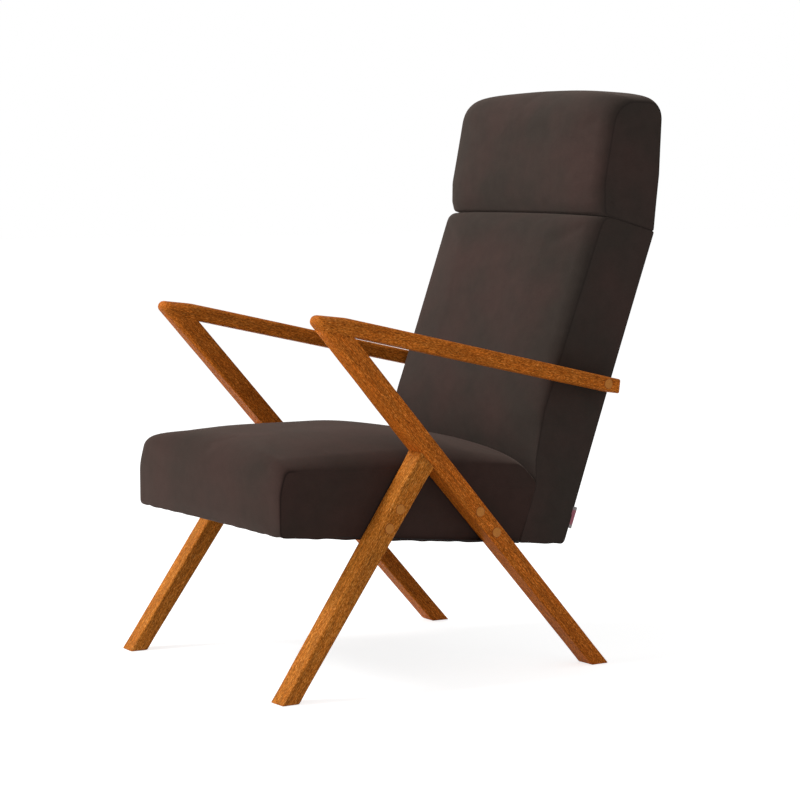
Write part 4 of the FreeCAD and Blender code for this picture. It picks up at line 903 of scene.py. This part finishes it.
def seat_corners(s, share):
    """The seat's outline at a share of its half width, from the lower front corner upwards."""
    arch, bulge, crown = arch_at(share), bulge_at(share), crown_at(share, s.crown_power)
    roll = s.roll * roll_at(share, s.roll_share)
    side_z = s.front_z + s.side_height
    dome_z = side_z + s.side_dome + s.crown * crown - roll
    front = s.front_y - s.front_bulge * bulge
    top_y = s.front_y + s.front_lean - s.top_bulge * bulge
    crease_z = side_z - s.crease_drop
    return [(front, s.front_z, s.bottom_radius),
            (front - s.knee_bulge * bulge, s.front_z + s.knee_height, s.knee_radius),
            (top_y, side_z + s.front_crown * crown - roll * s.front_roll,
             s.front_radius + s.front_easing * (1 - share * share)),
            (s.dome_front_y, dome_z, s.dome_radius),
            (s.dome_rear_y, dome_z, s.dome_radius),
            (s.crease_y - s.shoulder_run, side_z - s.shoulder_drop + s.shoulder_rise * arch,
             s.shoulder_radius),
            (s.crease_y, crease_z - s.crease_dip + s.crease_rise * arch, s.crease_radius),
            (s.crease_y, crease_z - s.heel_drop, 0.0),
            (s.crease_y - s.heel_run, s.front_z - s.bottom_fall, 0.0)]


def back_corners(s, seat, share):
    """The back's outline, from its lower front corner upwards."""
    arch, bulge = arch_at(share), bulge_at(share)
    y = seat.crease_y + CUSHION_GAP
    crease_z = seat.front_z + seat.side_height - seat.crease_drop
    heel_z = crease_z - seat.heel_drop
    foot = (y - seat.heel_run, seat.front_z - seat.bottom_fall)
    heel = (foot[0] + s.foot_depth, foot[1] - s.foot_drop)
    nape = (heel[0] + s.lean, heel[1] + s.height)
    return [(*foot, 0.0), (y, heel_z, 0.0),
            (y, crease_z + s.lumbar_start + s.lumbar_rise * arch, 0.0),
            (y + s.lumbar_step - s.lumbar_bulge * bulge,
             crease_z + s.lumbar_start + s.lumbar_length, s.lumbar_radius),
            (nape[0] - s.top_depth - s.bulge * bulge, nape[1] + s.top_rise + s.seam_rise * arch,
             s.shoulder_radius),
            (*nape, 0.0), (*heel, s.bottom_radius)]


def headrest_corners(s, back, seat, share):
    """The headrest's outline, from the front end of its seam upwards."""
    arch, bulge = arch_at(share), bulge_at(share)
    rise = s.crown * crown_at(share, s.crown_power) - s.roll * roll_at(share, s.roll_share)
    front, nape = back_corners(back, seat, 1.0)[4:6]
    y, z = front[0], front[1] + CUSHION_GAP
    lip = (y - s.overhang - s.bulge * bulge, z + s.lip_rise)
    return [(y - s.seam_bulge * bulge, z + s.seam_rise * arch, s.seam_radius),
            (*lip, s.lip_radius), (lip[0], lip[1] + s.cheek_rise, s.cheek_radius),
            (lip[0] + s.lean, z + s.height + rise, s.front_radius),
            (nape[0] + s.rear_overhang, z + s.height - s.top_fall + rise * s.rear_crown,
             s.rear_radius),
            (nape[0] + s.nape_overhang, nape[1] + s.nape_rise, s.nape_radius),
            (nape[0], nape[1] + CUSHION_GAP, 0.0)]


def nearest_on(spine, point):
    """The nearest place to a point on a polyline."""
    best = None
    for a, b in zip(spine, spine[1:]):
        share = min(1.0, max(0.0, (point - a).dot(b - a) / (b - a).length_squared))
        spot = a.lerp(b, share)
        if best is None or (spot - point).length < (best - point).length:
            best = spot
    return best


def cushion(name, outline, line, held, sewn, filled):
    """A crowned body through stations across the chair, closed by two side panels.

    outline gives the corners at a share of the half width, and line the side panel's middle
    line. held lists the edges that rest on something. sewn gives the depth share of the side
    seam for an edge and a point in side view. filled is the share of the width that the
    filling may blow up; the rest keeps its rolled edge.
    """
    timbers, sizes = bpy.context.scene.chair_timbers, bpy.context.scene.chair_cushions
    spine = [Vector(point) * MM for point in line]
    counts = edge_counts(outline(1.0), sizes.spacing)
    tangent = math.tan(timbers.toe_angle)
    half = (timbers.half_width - timbers.thickness) / math.cos(timbers.toe_angle)
    half -= 2 * sizes.fabric_gap
    side, edges = rounded_ring(outline(1.0), counts, sizes.corner)
    low, high = min(p.x + p.y for p in side), max(p.x + p.y for p in side)

    def placed(points, share, inward=0.0):
        """A ring across the chair; the sides are drawn in half way between their ends."""
        ring = []
        for p in points:
            along = (p.x + p.y - low) / (high - low)
            pull = sizes.draw_in * math.sin(math.pi * min(1.0, max(0.0, along)))
            ring.append(Vector((share * (half - pull - inward - p.x * tangent), p.x, p.y)))
        return ring

    def beside_seam(p):
        run = nearest_on(spine, p) - p
        return p + run.normalized() * min(sizes.seam_lip, run.length)

    depths = [sizes.seam_groove * sewn(edge, p) for edge, p in zip(edges, side)]
    groove = [p + (nearest_on(spine, p) - p).normalized() * depth for p, depth in zip(side, depths)]
    rows = [[nearest_on(spine, p).lerp(p, k) for p in side] for k in PANEL_SHARES]
    rows.append([beside_seam(p) for p in side])

    def panel_rings(share):
        """A side panel from its middle to its sunken seam."""
        rings = [placed(row, share, sizes.seam_groove * PANEL_SINK) for row in rows]
        seam = [spot - Vector((share * depth * SEAM_SINK, 0.0, 0.0))
                for spot, depth in zip(placed(groove, share), depths)]
        return rings + [seam]

    rings = panel_rings(-1)
    kinds = ["panel"] * len(rows) + ["seam"]
    for station in station_shares(STATIONS)[1:-1]:
        points, _ = rounded_ring(outline(station), counts, sizes.corner)
        rings.append(placed(points, station))
        kinds.append("body" if abs(station) < filled else "edge")
    rings += reversed(panel_rings(1))
    kinds += ["seam"] + ["panel"] * len(rows)
    piece = swept(name, rings)
    mark(piece, edges, kinds, held, depths)
    return piece


def mark(piece, edges, kinds, held, depths):
    """Writes the seam shade, and the group of points that a simulation doesn't move."""
    mesh = piece.data
    place = [item.value for item in mesh.attributes["place"].data]
    ring = [item.value for item in mesh.attributes["ring"].data]
    deepest = bpy.context.scene.chair_cushions.seam_groove
    group = piece.vertex_groups.new(name="held")
    shades = []
    for i, (spot, number) in enumerate(zip(place, ring)):
        kind = kinds[number]
        shades.append(depths[spot] / deepest if kind == "seam" else 0.0)
        if kind != "body" or edges[spot] in held:
            group.add([i], 1.0, "REPLACE")
    seam = mesh.attributes.new("seam", "FLOAT", "POINT")
    seam.data.foreach_set("value", shades)


def inflate(piece):
    """Blows the cover up as cloth over its filling, and keeps the swelling within limits."""
    mesh = piece.data
    scene = bpy.context.scene
    sizes = scene.chair_cushions
    before = [v.co.copy() for v in mesh.vertices]
    cloth = piece.modifiers.new("cover", "CLOTH")
    settings = cloth.settings
    settings.quality = 6
    settings.mass = 0.3
    settings.tension_stiffness = 25.0
    settings.compression_stiffness = 25.0
    settings.shear_stiffness = 12.0
    settings.bending_stiffness = 1.2
    settings.use_pressure = True
    settings.uniform_pressure_force = PRESSURE
    settings.vertex_group_mass = "held"
    settings.effector_weights.gravity = 0.0
    cloth.collision_settings.use_collision = False
    cloth.point_cache.frame_start = 1
    cloth.point_cache.frame_end = FRAMES
    for frame_number in range(1, FRAMES + 1):
        scene.frame_set(frame_number)
    shaped = piece.evaluated_get(bpy.context.evaluated_depsgraph_get())
    after = [v.co.copy() for v in shaped.data.vertices]
    piece.modifiers.remove(cloth)
    scene.frame_set(1)
    widest = max(abs(co.x) for co in before)
    for vert, old, new in zip(mesh.vertices, before, after):
        move = new - old
        if move.length > sizes.swell:
            move *= sizes.swell / move.length
        room = max(0.0, widest - abs(old.x)) * SIDE_ROOM + sizes.side_swell
        outward = move.x * (1 if old.x > 0 else -1)
        if outward > room:
            move.x *= room / outward
        vert.co = old + move
    mesh.update()


def wave(at, phase):
    """A steady but uneven wave between about -1 and 1; at is in metres."""
    return (0.5 * math.sin(at * 151 + phase) + 0.3 * math.sin(at * 97 + 2.1 * phase)
            + 0.35 * math.sin(at * 263 + 0.7 * phase))


def pucker(piece, lower):
    """Lets a tacked lower edge run slightly unevenly. lower gives its height at y."""
    sizes = bpy.context.scene.chair_cushions
    for vert in piece.data.vertices:
        over = vert.co.z - lower(vert.co.y)
        if over < sizes.hem_reach:
            share = 1 - smooth(max(0.0, over) / sizes.hem_reach)
            drop = HEM_MEAN + wave(vert.co.x + HEM_SLANT * vert.co.y, HEM_START)
            vert.co.z -= sizes.hem_wave * share * drop
    piece.data.update()


def soften(piece):
    """One subdivision over the finished cover."""
    smoother = piece.modifiers.new("smooth", "SUBSURF")
    smoother.levels = 1
    smoother.render_levels = 1


# Operators

# How each timber's copy of the one stain is scaled: the long leg and armrest to their measured
# colours, and the front leg paler and greyer as painted highlight for the pale reflections on its
# front faces
WOOD_AND_LIGHT_TINTS = {"long_leg": (1.08, 1.0, 1.0), "front_leg": (1.05, 1.18, 1.45),
              "armrest": (1.05, 1.0, 1.0)}
# One fabric in two copies: the seat's is made darker and redder, with more warm patches, and the
# back's and headrest's lighter, to match the colour measured on each; these tints are painted shade
# and painted light
SEAT_WARMTH, SEAT_SHADED_TINT = 0.34, (0.90, 0.83, 0.80)
BACK_WARMTH, BACK_LIT_TINT = 0.22, (1.09, 1.07, 1.06)


class ChairOperator:
    bl_options = {"REGISTER", "UNDO"}


class CHAIR_OT_timbers(ChairOperator, bpy.types.Operator):
    """Builds legs and armrests of both side frames"""
    bl_idname = "chair.timbers"
    bl_label = "Side Frames"

    def execute(self, context):
        scene = context.scene
        shape = Frame(scene.chair_timbers)
        kinds = (("long_leg", long_leg_rings, shape.nose - shape.rear_foot),
                 ("front_leg", front_leg_rings, shape.joint_top - shape.front_foot),
                 ("armrest", armrest_rings, shape.arm_over - shape.arm_over_end))
        for kind, rings, grain in kinds:
            wood = material("wood_" + kind, paint_wood, grain_turn(*grain), WOOD_AND_LIGHT_TINTS[kind],
                            scene.chair_colours)
            for label, side in SIDES:
                piece = swept(f"{kind}_{label}_timber", rings(shape, side))
                finish(piece, wood, "frame_wood", f"{kind}_{label}")
        return {"FINISHED"}


class CHAIR_OT_plugs(ChairOperator, bpy.types.Operator):
    """Builds the wooden plugs over the bolts"""
    bl_idname = "chair.plugs"
    bl_label = "Plugs"

    def execute(self, context):
        scene = context.scene
        shape = Frame(scene.chair_timbers)
        wood = material("wood_plug", paint_plug, scene.chair_colours)
        for label, side in SIDES:
            for number, (y, z) in enumerate(PLUG_PLACES, 1):
                piece = plug(f"plug_{number}_{label}", shape, side, y * MM, z * MM)
                finish(piece, wood, "frame_wood", "bolt_cover_plugs")
        return {"FINISHED"}


class CHAIR_OT_seat(ChairOperator, bpy.types.Operator):
    """Builds the seat cushion"""
    bl_idname = "chair.seat"
    bl_label = "Seat"

    def execute(self, context):
        scene = context.scene
        s = scene.chair_seat

        def sewn(edge, p):
            if edge < 5:
                return 1 - smooth((p.x - s.front_y - SEAM_END) / SEAM_FADE)
            return SEAT_LOWER_SEAM if edge >= 7.5 else 0.0

        piece = cushion("seat_cushion", lambda share: seat_corners(s, share), SEAT_SPINE,
                        SEAT_HELD, sewn, SEAT_FILLED)
        inflate(piece)
        slope = seat_slope(s)
        pucker(piece, lambda y: s.front_z - slope * (y - s.front_y))
        soften(piece)
        cloth = material("seat_upholstery", paint_cloth, scene.chair_colours, SEAT_WARMTH, SEAT_SHADED_TINT)
        finish(piece, cloth, "cover_fabric", "seat_cover", "seat_foam")
        return {"FINISHED"}


def seat_slope(s):
    """Fall of the seat's underside per length, towards the rear."""
    return s.bottom_fall / (s.crease_y - s.heel_run - s.front_y)


def back_fabric(scene):
    return material("upholstery", paint_cloth, scene.chair_colours, BACK_WARMTH, BACK_LIT_TINT)


class CHAIR_OT_back(ChairOperator, bpy.types.Operator):
    """Builds the back cushion"""
    bl_idname = "chair.back"
    bl_label = "Back"

    def execute(self, context):
        scene = context.scene
        s, seat = scene.chair_back, scene.chair_seat
        piece = cushion("back_cushion", lambda share: back_corners(s, seat, share), BACK_SPINE,
                        BACK_HELD, lambda edge, p: PLAIN_SEAM, BACK_FILLED)
        inflate(piece)
        bottom = seat.front_z - seat.bottom_fall - s.foot_drop
        pucker(piece, lambda y: bottom)
        soften(piece)
        finish(piece, back_fabric(scene), "cover_fabric", "back_cover", "back_foam",
               "back_rear_panel")
        return {"FINISHED"}


class CHAIR_OT_headrest(ChairOperator, bpy.types.Operator):
    """Builds the headrest cushion"""
    bl_idname = "chair.headrest"
    bl_label = "Headrest"

    def execute(self, context):
        scene = context.scene
        s, back, seat = scene.chair_headrest, scene.chair_back, scene.chair_seat
        piece = cushion("headrest_cushion", lambda share: headrest_corners(s, back, seat, share),
                        HEADREST_SPINE, HEADREST_HELD, lambda edge, p: PLAIN_SEAM, BACK_FILLED)
        inflate(piece)
        soften(piece)
        finish(piece, back_fabric(scene), "cover_fabric", "headrest_cover", "headrest_foam",
               "headrest_rear_panel")
        return {"FINISHED"}


class CHAIR_OT_dust_cover(ChairOperator, bpy.types.Operator):
    """Staples the thin cloth under the seat"""
    bl_idname = "chair.dust_cover"
    bl_label = "Dust Cover"

    columns, rows = 44, 40
    thick = 0.8 * MM
    lift = 0.9 * MM
    sag = 1.2 * MM
    # Waves of the rim between its staples, and how far in they reach, as a share of the width
    tuck = 0.35 * MM
    staples = 9
    hem = 0.06
    width_share = 0.996

    def execute(self, context):
        low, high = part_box("seat_dust_cover")
        slope = seat_slope(context.scene.chair_seat)
        bm = bmesh.new()
        grid = bmesh.ops.create_grid(bm, x_segments=self.columns, y_segments=self.rows, size=0.5)
        width, run = high.x - low.x, high.y - low.y
        for vert in grid["verts"]:
            across, along = vert.co.x, vert.co.y
            y = low.y + run * (along + 0.5)
            inside = smooth(min(0.5 - abs(across), 0.5 - abs(along)) / self.hem)
            sag = self.sag * (1 - 4 * across * across) * (1 - 4 * along * along) * inside
            pull = self.tuck * math.cos(across * math.tau * self.staples) * (1 - inside)
            z = low.z + self.thick + self.lift + slope * (high.y - y) + pull * (0.5 + along) - sag
            vert.co = ((low.x + high.x) / 2 + width * across * self.width_share, y, z)
        piece = as_object("dust_cover_sheet", bm)
        thicken(piece, self.thick)
        cloth = material("dust_cloth", paint_plain, (0.018, 0.017, 0.017), 0.9, grain=700.0)
        finish(piece, cloth, "panel_fabric", "seat_dust_cover")
        return {"FINISHED"}


def thicken(piece, thickness):
    cloth = piece.modifiers.new("thickness", "SOLIDIFY")
    cloth.thickness = thickness


class CHAIR_OT_side_tab(ChairOperator, bpy.types.Operator):
    """Sews the folded ribbon into the back's rear seam"""
    bl_idname = "chair.side_tab"
    bl_label = "Side Tab"

    rows = 24
    thick = 0.35 * MM
    gap = 0.55 * MM
    reach = 7.2 * MM
    tucked = 2.0 * MM
    height_share = 0.93
    # Half the woven band and its soft border, as shares of the tab's height
    band = 0.36
    border = 0.04

    def execute(self, context):
        scene = context.scene
        low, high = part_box("side_tab")
        lean = Vector((0.0, scene.chair_back.lean, scene.chair_back.height)).normalized()
        out = Vector((0.0, lean.z, -lean.y))
        step = lean * ((high.z - low.z) / lean.z * self.height_share / self.rows)
        root = Vector(((low.x + high.x) / 2, tab_root(scene, low.z), low.z))
        gap, reach = self.gap, self.reach
        # The upper layer swells a little half way out and closes at the fold
        upper = [(-self.tucked, gap), (reach * 0.55, gap * 1.3), (reach * 0.88, gap)]
        profile = upper + [(reach, 0.0)] + [(a, -b) for a, b in reversed(upper)]
        bm = bmesh.new()
        band = bm.verts.layers.float.new("band")
        verts = [bmesh.ops.create_vert(bm, co=root + out * a + Vector((b, 0, 0)))["vert"][0]
                 for a, b in profile]
        edges = [bm.edges.new(pair) for pair in zip(verts, verts[1:])]
        for row in range(1, self.rows + 1):
            grown = bmesh.ops.extrude_edge_only(bm, edges=edges)["geom"]
            verts = [item for item in grown if isinstance(item, bmesh.types.BMVert)]
            edges = [item for item in grown if isinstance(item, bmesh.types.BMEdge)]
            bmesh.ops.translate(bm, verts=verts, vec=step)
            for vert in verts:
                vert[band] = smooth((self.band - abs(row / self.rows - 0.5)) / self.border)
        bmesh.ops.recalc_face_normals(bm, faces=bm.faces)
        piece = as_object("ribbon_tab", bm)
        thicken(piece, self.thick)
        ribbon = material("ribbon_weave", paint_ribbon, scene.chair_colours)
        finish(piece, ribbon, "tab_ribbon", "side_tab")
        return {"FINISHED"}


def tab_root(scene, z):
    """Where the back's rear line is at a height, in side view."""
    corners = back_corners(scene.chair_back, scene.chair_seat, 1.0)
    nape, heel = corners[5], corners[6]
    return heel[0] + (nape[0] - heel[0]) * (z - heel[1]) / (nape[1] - heel[1])


class CHAIR_OT_inner_parts(ChairOperator, bpy.types.Operator):
    """Gives the inner frame, webbing and fittings their finishes"""
    bl_idname = "chair.inner_parts"
    bl_label = "Inner Parts"

    def execute(self, context):
        for name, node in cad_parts.items():
            node.data.materials.clear()
            node.data.materials.append(inner_finish(name))
        return {"FINISHED"}


# Finish: its colour, roughness and share of metal, and how the names of its nodes start
INNER_FINISHES = {
    "glide_plastic": ((0.045, 0.045, 0.045), 0.5, 0.0, ("foot_glide",)),
    "ribbon": ((0.55, 0.52, 0.50), 0.8, 0.0, ("side_tab",)),
    "dowel_wood": ((0.50, 0.33, 0.18), 0.7, 0.0,
                   ("bolt_cover", "nose_dowels", "leg_dowels", "armrest", "front_leg", "long_leg")),
    "zinc_plate": ((0.55, 0.55, 0.52), 0.38, 1.0,
                   ("bolt_washers", "frame_bolts", "bracket_screws", "seat_back_bracket",
                    "threaded_inserts")),
    "webbing_bands": ((0.10, 0.085, 0.07), 0.85, 0.0, ("seat_webbing", "back_webbing")),
    "lining": ((0.02, 0.02, 0.02), 0.9, 0.0,
               ("seat_cover", "back_cover", "headrest_cover", "seat_foam", "back_foam",
                "headrest_foam", "seat_dust_cover", "back_rear_panel", "headrest_rear_panel")),
    "raw_timber": ((0.52, 0.36, 0.20), 0.7, 0.0, ("",)),
}


def inner_finish(node_name):
    for finish_name, (shade, roughness, metal, starts) in INNER_FINISHES.items():
        if node_name.startswith(starts):
            return material(finish_name, paint_plain, shade, roughness, metal)
    raise ValueError("no finish for " + node_name)


class CHAIR_OT_stage(ChairOperator, bpy.types.Operator):
    """Lays the floor, hangs the lights and sets the camera"""
    bl_idname = "chair.stage"
    bl_label = "Stage"

    def execute(self, context):
        scene = context.scene
        s = scene.chair_stage
        bm = bmesh.new()
        bmesh.ops.create_grid(bm, x_segments=1, y_segments=1, size=30.0)
        floor = as_object("floor", bm)
        paint = material("floor_paint", paint_floor, scene.chair_colours.floor, s.floor_glow)
        paint.cycles.emission_sampling = "NONE"
        floor.data.materials.append(paint)
        # Name, place and width in metres, and power
        lamps = (("key", (-1.4, -3.5, 4.6), 2.6, s.key_power),
                 ("front", (-0.4, -4.6, 0.9), 2.4, s.front_power),
                 ("fill", (4.6, -0.6, 2.4), 3.0, s.fill_power))
        for name, place, size, power in lamps:
            light = bpy.data.lights.new(name, "AREA")
            light.shape = "DISK"
            light.size = size
            light.energy = power
            lamp = bpy.data.objects.new(name, light)
            lamp.location = place
            aim = Vector((0, 0, 0.5)) - Vector(place)
            lamp.rotation_euler = aim.to_track_quat("-Z", "Y").to_euler()
            scene.collection.objects.link(lamp)
        view = bpy.data.cameras.new("camera")
        view.sensor_width = 36.0
        view.lens = s.focal_length
        camera = bpy.data.objects.new("camera", view)
        camera.location = (s.camera_x, s.camera_y, s.camera_z)
        camera.rotation_euler = (math.pi / 2 - s.pitch, 0.0, s.yaw)
        scene.collection.objects.link(camera)
        scene.camera = camera
        light_world(scene, s.sky)
        scene.view_settings.view_transform = "Standard"
        return {"FINISHED"}


def paint_floor(tree, surface, shade, glow):
    """Pale matt floor that the camera sees as white, with the chair's shadow left on it."""
    paint_plain(tree, surface, shade, 0.9, grain=30.0, contrast=0.004)
    dress(tree, surface, {
        "Specular IOR Level": 0.0,
        "Emission Color": grey(1.0),
        "Emission Strength": scaled(tree, seen_directly(tree), 0.0, glow),
    })


def seen_directly(tree):
    """1 for the rays that show a background: to the camera, off gloss and through glass."""
    paths = tree.nodes.new("ShaderNodeLightPath")
    value = paths.outputs["Is Camera Ray"]
    for name in ("Is Glossy Ray", "Is Transmission Ray"):
        values = {0: value, 1: paths.outputs[name]}
        value = add(tree, "Math", values, operation="MAXIMUM").outputs[0]
    return value


def light_world(scene, level):
    """Even light, and a plain white backdrop for the camera."""
    world = bpy.data.worlds.new("studio")
    scene.world = world
    world.use_nodes = True
    tree = world.node_tree
    tree.nodes.clear()
    soft, white = (add(tree, "Background", {"Color": grey(1.0), "Strength": strength}).outputs[0]
                   for strength in (level, 1.0))
    either = add(tree, "MixShader", {0: seen_directly(tree), 1: soft, 2: white})
    add(tree, "OutputWorld", {0: either.outputs[0]})


class CHAIR_PT_sidebar(bpy.types.Panel):
    """Lists the chair's steps in the sidebar"""
    bl_idname = "CHAIR_PT_sidebar"
    bl_label = "Lounge Chair"
    bl_space_type = "VIEW_3D"
    bl_region_type = "UI"
    bl_category = "Chair"

    def draw(self, context):
        for step in STEPS:
            self.layout.operator(step.bl_idname)


STEPS = (CHAIR_OT_inner_parts, CHAIR_OT_timbers, CHAIR_OT_plugs, CHAIR_OT_seat, CHAIR_OT_back,
         CHAIR_OT_headrest, CHAIR_OT_dust_cover, CHAIR_OT_side_tab, CHAIR_OT_stage)
GROUPS = (("chair_timbers", TimberSizes), ("chair_cushions", CushionSizes),
          ("chair_seat", SeatSizes), ("chair_back", BackSizes), ("chair_headrest", HeadrestSizes),
          ("chair_colours", FinishColours), ("chair_stage", StageSettings))


def register():
    for name, kind in GROUPS:
        bpy.utils.register_class(kind)
        setattr(bpy.types.Scene, name, PointerProperty(type=kind))
    for kind in (*STEPS, CHAIR_PT_sidebar):
        bpy.utils.register_class(kind)


def unregister():
    for kind in (CHAIR_PT_sidebar, *reversed(STEPS)):
        bpy.utils.unregister_class(kind)
    for name, kind in reversed(GROUPS):
        delattr(bpy.types.Scene, name)
        bpy.utils.unregister_class(kind)


def main():
    register()
    for step in STEPS:
        group, action = step.bl_idname.split(".")
        getattr(getattr(bpy.ops, group), action)()


if __name__ == "__main__":
    main()
